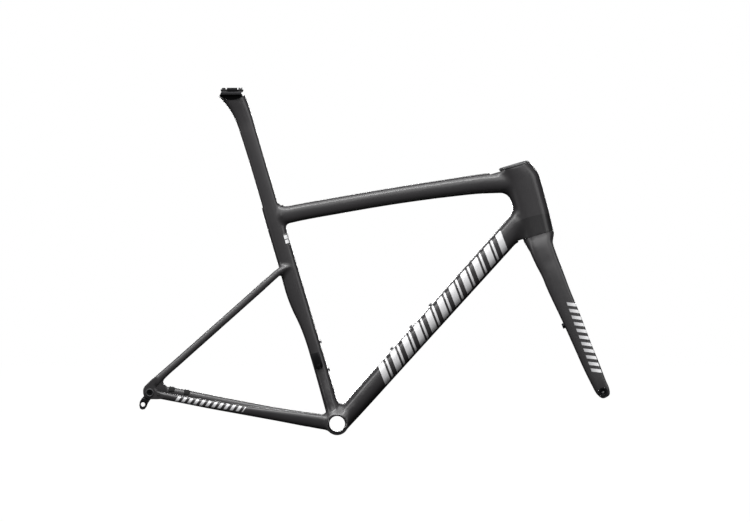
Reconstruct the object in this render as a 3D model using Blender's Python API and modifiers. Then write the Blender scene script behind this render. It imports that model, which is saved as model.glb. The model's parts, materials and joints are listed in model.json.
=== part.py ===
"""A road bicycle frameset: frame, fork, headset, seatpost with saddle clamp, and thru axles.

Metres, +Z up, +X to the front, +Y to the rider's left. The origin is the centre of the bottom
bracket. Sizes below are in millimetres and become metres where a mesh is made.
"""

import math

import bmesh
import bpy
from mathutils import Matrix, Vector

MM = 0.001
GAP = 0.3  # bond line or running clearance between neighbours
SIDE = Vector((0, 1, 0))
WALL = 2.2  # laminate thickness of the large tubes


class Axis:
    """A leaning line in the middle plane. Height runs up along it, reach runs ahead of it."""

    def __init__(self, foot, lean_deg):
        lean = math.radians(lean_deg)
        self.foot = Vector((foot[0], 0, foot[1]))
        self.up = Vector((-math.cos(lean), 0, math.sin(lean)))
        self.ahead = Vector((math.sin(lean), 0, math.cos(lean)))

    def at(self, height, reach=0.0, side=0.0):
        return self.foot + self.up * height + self.ahead * reach + SIDE * side


# Driving dimensions ---------------------------------------------------------------------------
STEER = Axis((435.2, 413.4), 73.5)  # foot: centre of the head tube's lower face
SEAT = Axis((-5.0, 0.0), 73.46)  # the seatpost's line
HEAD_LENGTH = 157.0
REAR_AXLE = Vector((-410.7, 0, 69.1))
FRONT_AXLE = Vector((583.4, 0, 70.6))
AXLE_RADIUS = 5.9
AXLE_HOLE = 6.2
HUB_REAR = 71.0  # half of the hub width between the rear dropouts
HUB_FRONT = 50.0
SHELL_RADIUS = 25.0
SHELL_HALF = 34.0
SEAT_RIM = 500.0  # height of the seat tube's rim along the seat line
POST_FOOT = 390.0  # height of the seatpost's lower end at rest
POST_BORE_FLOOR = 295.0
POST_DEPTH = 35.2
POST_WIDTH = 22.0
TILT_CENTRE = Vector((-233.0, 0, 755.0))  # centre of the saddle cradle's arc
TILT_RADIUS = 43.9
RAIL_SIDE = 22.0
RAIL_HEIGHT = 730.3
BEARING_RADIUS = 26.0
BEARING_DEEP = 8.0
SLEEVE_RADIUS = 20.0  # the threaded sleeve inside the bottom bracket shell
SLEEVE_BORE = 17.3
CROWN_FOOT = -42.0  # where the crown ends and the legs start, along the steering line
BRAKE_INSERT_BORE = 2.6
BRAKE_INSERT_RADIUS = 4.4
REAR_BRAKE_PLACES = (-333.0, -367.0)  # x of the two rear brake inserts
HANGER_SCREW = Vector((-424.0, -79.0, 53.8))
HANGER_EYE = Vector((-425.3, -75.0, 43.4))
FAR = 140.0  # longer than any wall that a cutter goes through

# height along the steering line, rear reach, front reach, width
HEAD_TUBE = (
    (0.0, -31.0, 41.8, 60.0),
    (30.0, -30.0, 43.8, 58.5),
    (70.0, -29.5, 45.2, 57.5),
    (110.0, -29.5, 46.0, 57.5),
    (128.0, -30.5, 45.8, 57.5),
    (143.0, -32.0, 41.2, 58.0),
    (HEAD_LENGTH, -33.6, 34.5, 58.0),
)
CROWN = (
    (CROWN_FOOT, -20.6, 34.0, 74.5),
    (-32.0, -22.4, 33.7, 74.0),
    (-21.0, -24.2, 35.0, 71.0),
    (-13.0, -26.0, 38.6, 66.0),
    (-6.0, -27.6, 42.2, 61.5),
    (-0.8, -28.0, 41.8, 60.0),
)
# height along the seat line, rear reach, front reach, width
SEAT_TUBE = (
    (8.0, -12.0, 21.0, 58.0),
    (35.0, -11.5, 20.5, 55.0),
    (60.0, -11.0, 20.0, 49.0),
    (100.0, -10.2, 19.8, 38.0),
    (139.0, -9.8, 19.8, 32.0),
    (203.0, -10.5, 19.8, 29.0),
    (222.0, -12.0, 19.8, 28.5),
    (241.0, -14.4, 19.8, 28.0),
    (262.0, -18.0, 19.8, 28.0),
    (279.0, -20.0, 19.8, 28.0),
    (463.0, -20.0, 19.8, 28.0),
    (487.0, -19.6, 19.8, 27.8),
    (SEAT_RIM, -19.0, 19.8, 27.4),
)
SEATPOST = (
    (POST_FOOT, -17.6, 17.6, POST_WIDTH),
    (664.0, -17.6, 17.6, POST_WIDTH),
    (690.0, -18.4, 17.8, 22.6),
    (702.0, -19.6, 17.9, 24.0),
    (720.0, -23.0, 17.8, 27.0),
    (735.0, -27.6, 17.0, 30.5),
    (748.0, -33.2, 15.8, 33.0),
    (760.0, -39.0, 13.8, 34.0),
    (768.0, -41.6, 11.4, 34.0),
)
# x, z of the centre, depth across the run, width
TOP_TUBE = (
    (-127.0, 458.2, 42.5, 27.5),
    (-107.0, 459.6, 38.6, 28.5),
    (-90.0, 463.2, 38.0, 29.5),
    (-1.5, 479.3, 37.2, 31.0),
    (139.0, 503.0, 37.5, 34.0),
    (245.0, 518.3, 40.0, 38.0),
    (315.0, 527.2, 43.6, 43.0),
    (350.0, 530.0, 46.6, 47.0),
    (386.0, 531.2, 46.6, 50.0),
)
DOWN_TUBE = (
    (8.0, 4.0, 42.0, 60.0),
    (34.0, 33.0, 43.6, 59.0),
    (90.0, 95.5, 45.0, 54.0),
    (200.0, 218.4, 47.2, 50.5),
    (300.0, 330.1, 49.6, 49.0),
    (368.0, 406.0, 50.8, 50.0),
    (402.0, 444.0, 51.0, 50.0),
)
# x, z, side of the centre, depth, width; the brake side is deeper near the dropout
DRIVE_STAY = (
    (-14.0, 1.0, 23.0, 33.0, 19.0),
    (-40.0, 5.0, 24.5, 32.0, 18.5),
    (-72.0, 10.0, 28.5, 30.0, 17.0),
    (-130.0, 18.7, 36.5, 25.0, 14.0),
    (-203.0, 30.0, 48.5, 20.6, 14.5),
    (-280.0, 43.0, 61.0, 18.0, 14.5),
    (-350.0, 56.0, 72.0, 16.0, 13.0),
    (-392.0, 64.0, 77.0, 16.0, 9.0),
)
BRAKE_STAY = (
    (-14.0, 1.0, 23.0, 33.0, 19.0),
    (-40.0, 5.5, 24.5, 33.0, 18.5),
    (-72.0, 10.6, 28.5, 31.2, 17.0),
    (-130.0, 20.4, 36.5, 28.4, 14.0),
    (-203.0, 34.0, 48.5, 28.0, 15.0),
    (-280.0, 48.7, 61.0, 28.0, 16.0),
    (-350.0, 62.6, 71.0, 28.0, 16.0),
    (-374.0, 66.6, 74.0, 28.0, 13.0),
    (-392.0, 69.5, 75.0, 24.0, 9.0),
)
SEAT_STAY = (
    (-104.0, 344.0, 9.5, 7.0, 7.0),
    (-113.0, 342.0, 13.0, 11.0, 9.0),
    (-126.0, 335.6, 18.0, 15.2, 11.0),
    (-142.0, 321.7, 21.8, 16.2, 11.5),
    (-200.0, 269.9, 32.5, 16.2, 11.5),
    (-280.0, 198.7, 49.5, 16.2, 12.0),
    (-350.0, 136.4, 64.5, 16.2, 12.0),
    (-384.0, 106.2, 72.0, 17.0, 11.0),
    (-400.0, 91.0, 75.5, 20.0, 9.0),
)
FORK_LEG = (
    (469.3, 339.0, 33.0, 49.0, 16.5),
    (486.3, 297.0, 36.7, 45.4, 16.0),
    (517.0, 227.0, 42.5, 41.0, 15.0),
    (539.0, 174.0, 47.0, 37.4, 14.5),
    (561.5, 121.0, 52.0, 35.0, 13.5),
    (576.2, 88.0, 55.6, 31.4, 12.6),
    (584.4, 71.0, 56.2, 29.4, 12.4),
    (589.2, 61.8, 56.2, 22.0, 12.4),
    (590.8, 58.8, 56.2, 12.0, 11.0),
)
BOTTLE_PITCH = 64.0
DOWN_TUBE_BOLTS = 3
FIRST_BOTTLE_BOLT = 72.0  # along the down tube from its third section
DOWN_TUBE_SKIN = 22.9  # from the centre of the down tube's third section to its upper skin
DOWN_TUBE_FLARE = 0.008  # how much further out the skin is for each millimetre up the tube
SEAT_TUBE_BOLTS = (118.2, 118.2 + BOTTLE_PITCH)  # heights along the seat line


# Scene, finishes and bodies -------------------------------------------------------------------
def clear_scene():
    for old in list(bpy.data.objects):
        bpy.data.objects.remove(old, do_unlink=True)


def collection(name, hidden=False):
    made = bpy.data.collections.new(name)
    bpy.context.scene.collection.children.link(made)
    made.hide_render = hidden
    return made


def finish(name, colour, roughness, metallic):
    """One Principled finish."""
    made = bpy.data.materials.new(name)
    made.use_nodes = True
    made.diffuse_color = (*colour, 1)
    shader = made.node_tree.nodes["Principled BSDF"]
    shader.inputs["Base Color"].default_value = (*colour, 1)
    shader.inputs["Roughness"].default_value = roughness
    shader.inputs["Metallic"].default_value = metallic
    return made


def pivot(name, place, parent=None):
    """An empty on a joint's axis, which carries the pieces of one body."""
    made = bpy.data.objects.new(name, None)
    made.empty_display_size = 20 * MM
    made.matrix_world = Matrix.Translation(place * MM)
    PARTS.objects.link(made)
    carry(made, parent)
    return made


def carry(piece, parent):
    """Parents a piece without moving it."""
    if parent is None:
        return
    bpy.context.view_layer.update()
    piece.parent = parent
    piece.matrix_parent_inverse = parent.matrix_world.inverted()


# Shapes ---------------------------------------------------------------------------------------
def shelve(made, look, body):
    """Puts an object with the parts and on its body or, without a finish, with the cutters."""
    if look is None:
        CUTTERS.objects.link(made)
        made.hide_render = True
        made.display_type = "WIRE"
    else:
        PARTS.objects.link(made)
        made.data.materials.append(look)
    carry(made, body)
    return made


def new_object(name, bm, look=None, body=None):
    """The bmesh, in millimetres, as an object."""
    bmesh.ops.recalc_face_normals(bm, faces=bm.faces)
    bmesh.ops.scale(bm, vec=(MM, MM, MM), verts=bm.verts)
    mesh = bpy.data.meshes.new(name)
    bm.to_mesh(mesh)
    bm.free()
    return shelve(bpy.data.objects.new(name, mesh), look, body)


def section(centre, across, depth, width, front=2.3, back=2.3, count=24):
    """One ring of a tube: a superellipse whose front and back halves may differ in squareness."""
    points = []
    for i in range(count):
        turn = 2 * math.pi * (i + 0.5) / count
        power = 2 / (front if math.cos(turn) > 0 else back)
        run = math.copysign(abs(math.cos(turn)) ** power, math.cos(turn)) * depth / 2
        wide = math.copysign(abs(math.sin(turn)) ** power, math.sin(turn)) * width / 2
        points.append(centre + across * run + SIDE * wide)
    return points


def bands(axis, rows, grow=0.0, **shape):
    """Rings square to a leaning axis, from rows of height, rear reach, front reach and width."""
    return [
        section(
            axis.at(height, (rear + front) / 2),
            axis.ahead,
            front - rear + 2 * grow,
            width + 2 * grow,
            **shape,
        )
        for height, rear, front, width in rows
    ]


def run_rings(rows, side=0.0, grow=0.0, **shape):
    """Rings square to a run of centres. Rows hold x, z, (side,) depth and width."""
    centres = []
    for row in rows:
        y = side * row[2] if len(row) == 5 else 0.0
        centres.append(Vector((row[0], y, row[1])))
    rings = []
    for i, row in enumerate(rows):
        along = centres[min(i + 1, len(rows) - 1)] - centres[max(i - 1, 0)]
        across = Vector((-along.z, 0, along.x)).normalized()
        if across.x < 0:
            across.negate()
        depth, width = row[-2:]
        rings.append(section(centres[i], across, depth + 2 * grow, width + 2 * grow, **shape))
    return rings


def loft(name, rings, look=None, body=None):
    """A closed skin through rings of equal point counts."""
    bm = bmesh.new()
    loops = [[bm.verts.new(point) for point in ring] for ring in rings]
    count = len(rings[0])
    for low, high in zip(loops, loops[1:]):
        for i in range(count):
            j = (i + 1) % count
            bm.faces.new((low[i], low[j], high[j], high[i]))
    bm.faces.new(loops[0])
    bm.faces.new(loops[-1])
    return new_object(name, bm, look, body)


def prism(name, outline, low, high, look=None, body=None):
    """An outline of (x, z) points, extruded sideways from low to high."""
    bm = bmesh.new()
    face = bm.faces.new([bm.verts.new((x, low, z)) for x, z in outline])
    grown = bmesh.ops.extrude_face_region(bm, geom=[face])
    moved = [v for v in grown["geom"] if isinstance(v, bmesh.types.BMVert)]
    bmesh.ops.translate(bm, vec=(0, high - low, 0), verts=moved)
    return new_object(name, bm, look, body)


def rod(name, centre, direction, radius, length, look=None, body=None, count=32):
    """A plain cylinder about its centre."""
    bm = bmesh.new()
    bmesh.ops.create_cone(
        bm, cap_ends=True, segments=count, radius1=radius, radius2=radius, depth=length
    )
    turn = direction.to_track_quat("Z", "Y").to_matrix().to_4x4()
    bmesh.ops.transform(bm, matrix=Matrix.Translation(centre) @ turn, verts=bm.verts)
    return new_object(name, bm, look, body)


def block(name, centre, size, look=None, body=None, axis=None):
    """A box. On an axis, its size runs ahead, sideways and up."""
    bm = bmesh.new()
    bmesh.ops.create_cube(bm, size=1)
    bmesh.ops.scale(bm, vec=size, verts=bm.verts)
    if axis is not None:
        turn = Matrix((axis.ahead, SIDE, axis.up)).transposed().to_4x4()
        bmesh.ops.transform(bm, matrix=turn, verts=bm.verts)
    bmesh.ops.translate(bm, vec=centre, verts=bm.verts)
    return new_object(name, bm, look, body)


def turned(name, outline, centre, direction, look=None, body=None, steps=24):
    """A turned piece: an outline of (radius, height) points spun about its own axis.

    An outline that starts and ends on the axis is open, any other is closed to a ring.
    """
    bm = bmesh.new()
    line = [bm.verts.new((radius * MM, 0, height * MM)) for radius, height in outline]
    for a, b in zip(line, line[1:]):
        bm.edges.new((a, b))
    if outline[0][0] > 0:
        bm.edges.new((line[-1], line[0]))
    turn = direction.to_track_quat("Z", "Y").to_matrix().to_4x4()
    mesh = bpy.data.meshes.new(name)
    bm.to_mesh(mesh)
    bm.free()
    made = bpy.data.objects.new(name, mesh)
    made.matrix_world = Matrix.Translation(centre * MM) @ turn
    spin = made.modifiers.new("Spin", "SCREW")
    spin.steps = steps
    spin.render_steps = steps
    spin.use_merge_vertices = True
    spin.merge_threshold = 0.00001
    spin.use_normal_flip = True
    return shelve(made, look, body)


def cut(piece, *cutters):
    """Takes the cutters out of a piece."""
    for cutter in cutters:
        made = piece.modifiers.new(cutter.name, "BOOLEAN")
        made.operation = "DIFFERENCE"
        made.solver = "EXACT"
        made.object = cutter


def join(piece, *others):
    """Adds helper shapes to a piece."""
    for other in others:
        made = piece.modifiers.new(other.name, "BOOLEAN")
        made.operation = "UNION"
        made.solver = "EXACT"
        made.object = other


# Frame tubes ----------------------------------------------------------------------------------
HEAD_SHAPE = {"front": 2.0, "back": 2.6, "count": 28}
SEAT_SHAPE = {"front": 2.2, "back": 3.4, "count": 28}
TUBE_SHAPE = {"front": 2.6, "back": 2.6, "count": 24}
STAY_SHAPE = {"front": 2.4, "back": 2.4, "count": 16}
LEG_SHAPE = {"front": 2.4, "back": 2.4, "count": 20}


def head_bore():
    """Bearing seats at both ends and a clear way for the steerer between them."""
    top = HEAD_LENGTH
    outline = (
        (0, -2),
        (BEARING_RADIUS, -2),
        (BEARING_RADIUS, BEARING_DEEP),
        (21, BEARING_DEEP),
        (21, top - BEARING_DEEP),
        (BEARING_RADIUS, top - BEARING_DEEP),
        (BEARING_RADIUS, top + 2),
        (0, top + 2),
    )
    return turned("cut_head_bore", outline, STEER.at(0), STEER.up)


def build_main_tubes():
    """Head, seat, down and top tubes and the shell, each cut clear of those it is bonded to."""
    head = loft("head_tube", bands(STEER, HEAD_TUBE, **HEAD_SHAPE), CARBON)
    cut(head, head_bore())
    head_room = loft("cut_head_room", bands(STEER, HEAD_TUBE, GAP, **HEAD_SHAPE))

    shell_room = rod("cut_shell_room", Vector(), SIDE, SHELL_RADIUS + GAP, FAR, count=36)
    shell = rod(
        "bottom_bracket_shell", Vector(), SIDE, SHELL_RADIUS, 2 * SHELL_HALF - 1, CARBON, count=36
    )
    cut(shell, rod("cut_shell_bore", Vector(), SIDE, SLEEVE_RADIUS + GAP, FAR, count=32))

    seat = loft("seat_tube", bands(SEAT, SEAT_TUBE, **SEAT_SHAPE), CARBON)
    seat_room = loft("cut_seat_room", bands(SEAT, SEAT_TUBE, GAP, **SEAT_SHAPE))
    bore = (
        (POST_BORE_FLOOR, -POST_DEPTH / 2 - GAP, POST_DEPTH / 2 + GAP, POST_WIDTH + 2 * GAP),
        (SEAT_RIM + 10, -POST_DEPTH / 2 - GAP, POST_DEPTH / 2 + GAP, POST_WIDTH + 2 * GAP),
    )
    cut(seat, loft("cut_post_bore", bands(SEAT, bore, **SEAT_SHAPE)), shell_room)

    down = loft("down_tube", run_rings(DOWN_TUBE, **TUBE_SHAPE), CARBON)
    down_room = loft("cut_down_room", run_rings(DOWN_TUBE, grow=GAP, **TUBE_SHAPE))
    hollow = ((60.0, 62.0, 44.0, 56.0),) + DOWN_TUBE[2:]
    inside = loft("cut_down_inside", run_rings(hollow, grow=-WALL, **TUBE_SHAPE))
    cut(down, inside, head_room, seat_room, shell_room)

    top = loft("top_tube", run_rings(TOP_TUBE, **TUBE_SHAPE), CARBON)
    hollow = ((-80.0, 465.0, 38.0, 30.0),) + TOP_TUBE[3:]
    inside = loft("cut_top_inside", run_rings(hollow, grow=-WALL, **TUBE_SHAPE))
    cut(top, inside, head_room, seat_room)
    return {
        "top": top,
        "seat": seat,
        "down": down,
        "seat_room": seat_room,
        "shell_room": shell_room,
        "down_room": down_room,
    }


def dropout_outline(grow=0.0):
    """The rear end plate seen from the side, round behind the axle and open to both stays."""
    radius = 14.4 + grow
    outline = [
        (-397.0, 106.0 + grow),
        (-406.8 - grow, 97.8 + grow),
        (-421.6 - grow, 83.4 + grow),
        (-425.1 - grow, 77.0),
    ]
    for i in range(6):
        turn = math.radians(180 + 90 * i / 5)
        outline.append((REAR_AXLE.x + radius * math.cos(turn), REAR_AXLE.z + radius * math.sin(turn)))
    outline += [
        (-395.0, 54.6 - grow),
        (-381.0 + grow, 55.4 - grow),
        (-377.5 + grow, 62.0),
        (-377.5 + grow, 80.5 + grow),
        (-383.5 + grow, 87.5 + grow),
        (-386.5 + grow, 97.0 + grow),
    ]
    return outline


def build_rear(main):
    """Stays and end plates. The drive side is -Y, the brake side +Y."""
    rooms = (main["shell_room"], main["seat_room"], main["down_room"])
    for word, side, stay_rows, low, high in (
        ("right", -1, DRIVE_STAY, -81.0, -74.3),
        ("left", 1, BRAKE_STAY, HUB_REAR, 79.3),
    ):
        plate = prism(f"rear_dropout_{word}", dropout_outline(), low, high, CARBON)
        near = min(side * 60, side * 95)
        room = prism(f"cut_dropout_{word}", dropout_outline(GAP), near, near + 35)
        chain = loft(f"chain_stay_{word}", run_rings(stay_rows, side, **STAY_SHAPE), CARBON)
        cut(chain, *rooms, room)
        stay = loft(f"seat_stay_{word}", run_rings(SEAT_STAY, side, **STAY_SHAPE), CARBON)
        cut(stay, main["seat_room"], room)
        hole = 8.3 if side < 0 else AXLE_HOLE
        cut(plate, rod(f"cut_axle_{word}", REAR_AXLE + SIDE * side * 76, SIDE, hole, 40))
        main[f"chain_{word}"] = chain
        main[f"plate_{word}"] = plate


def build_hanger(main):
    """The replaceable derailleur hanger, its screw, and the flanged nut the rear axle runs into."""
    outline = [
        (-400.4, 69.0),
        (-402.5, 61.5),
        (-409.0, 54.0),
        (-414.5, 46.0),
        (-417.5, 38.0),
        (-421.5, 33.0),
        (-427.0, 31.8),
        (-431.8, 34.5),
        (-433.4, 42.0),
        (-432.0, 50.0),
        (-428.0, 56.5),
        (-423.5, 61.5),
        (-421.0, 69.0),
        (-418.2, 76.4),
        (-410.7, 79.4),
        (-403.2, 76.4),
    ]
    hanger = prism("derailleur_hanger", outline, -74.0, -HUB_REAR, ALLOY_BLACK)
    boss = [(x, z) for x, z in outline if z < 57]
    join(hanger, prism("add_hanger_boss", boss, -79.0, -HUB_REAR - 1))
    cut(
        hanger,
        rod("cut_hanger_axle", REAR_AXLE - SIDE * 72, SIDE, AXLE_HOLE, 20),
        rod("cut_hanger_eye", HANGER_EYE, SIDE, 4.7, 30, count=24),
        rod("cut_hanger_screw", HANGER_SCREW, SIDE, 2.0, 38, count=16),
        rod("cut_hanger_sink", HANGER_SCREW, SIDE, 3.2, 4.4, count=16),
    )
    screw = ((0, -5.5), (1.7, -5.5), (1.7, -1.9), (2.9, -1.9), (2.9, -0.2), (0, -0.2))
    turned("hanger_screw", screw, HANGER_SCREW, -SIDE, STEEL, steps=16)
    nut = (
        (AXLE_HOLE, 0),
        (8.0, 0),
        (8.0, 7.0),
        (9.3, 7.0),
        (9.3, 8.6),
        (8.7, 9.2),
        (AXLE_HOLE, 9.2),
    )
    turned("rear_axle_nut", nut, REAR_AXLE - SIDE * 74.3, -SIDE, ALLOY_BLACK)
    port = Vector((-391.5, -81.0, 66.0))
    cut(main["plate_right"], rod("cut_wire_port", port, SIDE, 3.3, 6, count=16))
    plug = ((0, -2.6), (2.9, -2.6), (2.9, 0.3), (3.9, 0.3), (3.4, 1.3), (0, 1.3))
    turned("wire_port_plug", plug, port, -SIDE, RUBBER, steps=16)


def build_shell_sleeve():
    """The alloy sleeve that the bottom bracket's cups screw into."""
    outline = (
        (SLEEVE_BORE, -SHELL_HALF),
        (SLEEVE_RADIUS, -SHELL_HALF),
        (SLEEVE_RADIUS, SHELL_HALF),
        (SLEEVE_BORE, SHELL_HALF),
    )
    turned("bottom_bracket_sleeve", outline, Vector(), SIDE, ALLOY_BLACK, steps=32)


def build_bottle_bolts(main):
    """Domed bottle bolts in threaded bosses, three on the down tube and two on the seat tube."""
    head = ((0, -5), (2.3, -5), (2.3, 0.3), (4.6, 0.3), (4.6, 1.6), (3.4, 3.0), (0, 3.0))
    low, high = DOWN_TUBE[2], DOWN_TUBE[4]
    along = Vector((high[0] - low[0], 0, high[1] - low[1])).normalized()
    up = Vector((-along.z, 0, along.x))
    for i in range(DOWN_TUBE_BOLTS):
        run = FIRST_BOTTLE_BOLT + BOTTLE_PITCH * i
        skin = DOWN_TUBE_SKIN + run * DOWN_TUBE_FLARE
        place = Vector((low[0], 0, low[1])) + along * run + up * skin
        cut(main["down"], rod(f"cut_down_boss_{i + 1}", place, up, 2.7, 16, count=16))
        turned(f"bottle_bolt_down_{i + 1}", head, place, up, STEEL, steps=16)
    for i, height in enumerate(SEAT_TUBE_BOLTS):
        place = SEAT.at(height, 20.3)
        cut(main["seat"], rod(f"cut_seat_boss_{i + 1}", place, SEAT.ahead, 2.7, 16, count=16))
        turned(f"bottle_bolt_seat_{i + 1}", head, place, SEAT.ahead, STEEL, steps=16)


def build_front_derailleur_mount(main):
    """The tab on the drive side of the seat tube, curved to the tube behind, with its screw."""
    plate = block(
        "front_derailleur_mount", SEAT.at(145, 2, -16.5), (17, 9, 34), ALLOY_BLACK, axis=SEAT
    )
    bar = block("add_mount_bar", SEAT.at(145, 9.5, -17.5), (4, 9, 30), axis=SEAT)
    join(plate, bar)
    cut(plate, main["seat_room"])
    place = SEAT.at(131.5, 1.5, -21.0)
    cut(plate, rod("cut_mount_screw", place, SIDE, 2.3, 12, count=16))
    screw = ((0, -3.4), (2.0, -3.4), (2.0, 0.3), (3.6, 0.3), (3.6, 1.8), (3.0, 2.4), (0, 2.4))
    turned("front_derailleur_screw", screw, place, -SIDE, STEEL, steps=16)


def build_seat_wedge(main):
    """The hidden wedge that grips the post, its bolt from above, and the cap over them."""
    window = block("cut_wedge_window", SEAT.at(480, 20), (8, 14.6, 22), axis=SEAT)
    pocket = block("cut_wedge_pocket", SEAT.at(489, 21.6), (14, 14.6, 40), axis=SEAT)
    cut(main["seat"], window)
    cut(main["top"], pocket)
    wedge = block("seatpost_wedge", SEAT.at(479.6, 23), (10, 13.8, 19.6), ALLOY_BLACK, axis=SEAT)
    cut(wedge, rod("cut_wedge_bolt", SEAT.at(480, 24), SEAT.up, 2.6, 40, count=16))
    bolt = ((0, -16), (2.3, -16), (2.3, 0.3), (3.9, 0.3), (3.9, 1.9), (0, 1.9))
    turned("seatpost_wedge_bolt", bolt, SEAT.at(489.4, 24), SEAT.up, STEEL, steps=16)
    block("seatpost_wedge_cap", SEAT.at(492.7, 24.3), (7.6, 13.8, 1.9), RUBBER, axis=SEAT)


def brake_insert(pad, proud):
    """Profile of a threaded insert: a barrel in the laminate under a round pad."""
    return (
        (BRAKE_INSERT_BORE, -8),
        (BRAKE_INSERT_RADIUS, -8),
        (BRAKE_INSERT_RADIUS, GAP),
        (pad, GAP),
        (pad, proud),
        (BRAKE_INSERT_BORE, proud),
    )


def brake_insert_room(pad):
    """Profile of the stepped hole that a threaded insert sits in."""
    barrel = BRAKE_INSERT_RADIUS + GAP
    return (0, -10), (barrel, -10), (barrel, 0), (pad, 0), (pad, 5), (0, 5)


def build_rear_brake_inserts(main):
    """Two threaded inserts on top of the brake-side chain stay, 34 apart."""
    insert = brake_insert(6.2, 1.8)
    low, high = BRAKE_STAY[5], BRAKE_STAY[6]
    along = Vector((low[0] - high[0], 0, low[1] - high[1])).normalized()
    up = Vector((-along.z, 0, along.x))
    start, end = Vector((high[0], high[2], high[1])), Vector((low[0], low[2], low[1]))
    for i, x in enumerate(REAR_BRAKE_PLACES):
        place = start.lerp(end, (x - start.x) / (end.x - start.x)) + up * 13.2
        room = turned(f"cut_rear_insert_{i + 1}", brake_insert_room(6.8), place, up, steps=20)
        cut(main["chain_left"], room)
        turned(f"rear_brake_insert_{i + 1}", insert, place, up, ALLOY_BLACK, steps=20)


# Headset and fork -----------------------------------------------------------------------------
def ring_piece(name, inner, outer, low, high, look, body=None, steps=24):
    outline = ((inner, low), (outer, low), (outer, high), (inner, high))
    return turned(name, outline, STEER.at(0), STEER.up, look, body, steps)


def build_headset(fork):
    """Two bearings, the race and ring that seat them, and the cover, cap, bolt and plug above."""
    top = HEAD_LENGTH
    ring_piece("lower_bearing_outer", 23.6, 25.7, 0.8, 7.6, STEEL)
    ring_piece("lower_bearing_inner", 20.3, 22.8, 1.5, 7.5, STEEL, fork)
    ring_piece("crown_race", 20.3, 23.4, -0.5, 1.2, STEEL, fork)
    ring_piece("upper_bearing_outer", 23.6, 25.7, top - 7.6, top - 0.4, STEEL)
    ring_piece("upper_bearing_inner", 20.4, 22.8, top - 7.4, top - 0.8, STEEL, fork)
    ring_piece("compression_ring", 14.6, 20.1, top - 7.0, top + 3.5, ALLOY_BLACK, fork)

    rows = ((top + GAP, -33.8, 34.4, 58.0), (top + 3.5, -34.6, 33.0, 57.6))
    cover = loft("headset_cover", bands(STEER, rows, **HEAD_SHAPE), PLASTIC)
    cut(cover, rod("cut_cover_bore", STEER.at(top), STEER.up, 21.5, 30, count=36))
    rows = (
        (top + 3.8, -34.8, 32.6, 57.6),
        (top + 6.2, -34.6, 29.8, 56.0),
        (top + 7.4, -33.2, 26.0, 52.5),
    )
    cap = loft("headset_cap", bands(STEER, rows, **HEAD_SHAPE), PLASTIC, fork)
    sink = ((0, -6), (3.3, -6), (3.3, 3.9), (6.6, 3.9), (6.6, 9), (0, 9))
    cut(cap, turned("cut_cap_sink", sink, STEER.at(top), STEER.up, steps=24))
    bolt = ((0, -34), (3.0, -34), (3.0, 4.2), (6.2, 4.2), (6.2, 6.9), (5.6, 7.2), (0, 7.2))
    bolt = turned("headset_cap_bolt", bolt, STEER.at(top), STEER.up, STEEL, fork, steps=24)
    cut(bolt, rod("cut_cap_hex", STEER.at(top + 6.6), STEER.up, 2.9, 4, count=6))
    plug = ((3.3, -40), (9.6, -40), (11.2, -36), (11.2, -12), (9.6, -8), (3.3, -8))
    turned("steerer_plug", plug, STEER.at(top), STEER.up, ALLOY_BLACK, fork, steps=24)


def fork_leg_rings(side):
    """The leg starts square to the steering line under the crown, then follows its own run."""
    start = section(
        STEER.at(CROWN_FOOT - GAP, 6.2, side * 29.6), STEER.ahead, 52.2, 15.2, **LEG_SHAPE
    )
    return [start] + run_rings(FORK_LEG, side, **LEG_SHAPE)


def build_fork(fork):
    """Crown, steerer and two legs with their alloy ends."""
    crown = loft("fork_crown", bands(STEER, CROWN, front=2.1, back=2.5, count=28), CARBON, fork)
    arch = rod("cut_crown_arch", STEER.at(CROWN_FOOT + 2), STEER.ahead, 22.0, 120, count=40)
    socket = rod("cut_crown_socket", STEER.at(-2), STEER.up, 17.3, 20.6, count=32)
    cut(crown, arch, socket)
    steerer = (
        (11.6, -12),
        (17.0, -12),
        (17.0, -0.5),
        (20.0, -0.5),
        (20.0, 14),
        (14.3, 60),
        (14.3, HEAD_LENGTH + 2.5),
        (11.6, HEAD_LENGTH + 2.5),
    )
    turned("fork_steerer", steerer, STEER.at(0), STEER.up, CARBON, fork)

    insert = ((AXLE_HOLE, 0), (10.0, 0), (10.0, 12.3), (AXLE_HOLE, 12.3))
    legs = {}
    for word, side in (("right", -1), ("left", 1)):
        leg = loft(f"fork_leg_{word}", fork_leg_rings(side), CARBON, fork)
        near = FRONT_AXLE + SIDE * side * 56
        cut(leg, rod(f"cut_fork_end_{word}", near, SIDE, 10.3, 30))
        face = FRONT_AXLE + SIDE * side * HUB_FRONT
        turned(f"fork_dropout_{word}", insert, face, SIDE * side, ALLOY_BLACK, fork)
        legs[word] = leg
    build_front_brake_inserts(fork, legs["left"])


def build_front_brake_inserts(fork, leg):
    """Two threaded inserts on the back edge of the brake-side fork leg."""
    insert = brake_insert(6.0, 2.2)
    low, high = (Vector((row[0], row[2], row[1])) for row in (FORK_LEG[4], FORK_LEG[2]))
    back = Vector((low.z - high.z, 0, high.x - low.x)).normalized()
    for i, (share, sunk) in enumerate(((0.40, 0.0), (1.0, 1.6))):
        place = low.lerp(high, share) + back * (17.5 + 2.9 * share - sunk)
        room = turned(f"cut_front_insert_{i + 1}", brake_insert_room(6.6), place, back, steps=20)
        cut(leg, room)
        turned(f"front_brake_insert_{i + 1}", insert, place, back, ALLOY_BLACK, fork, steps=20)


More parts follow.
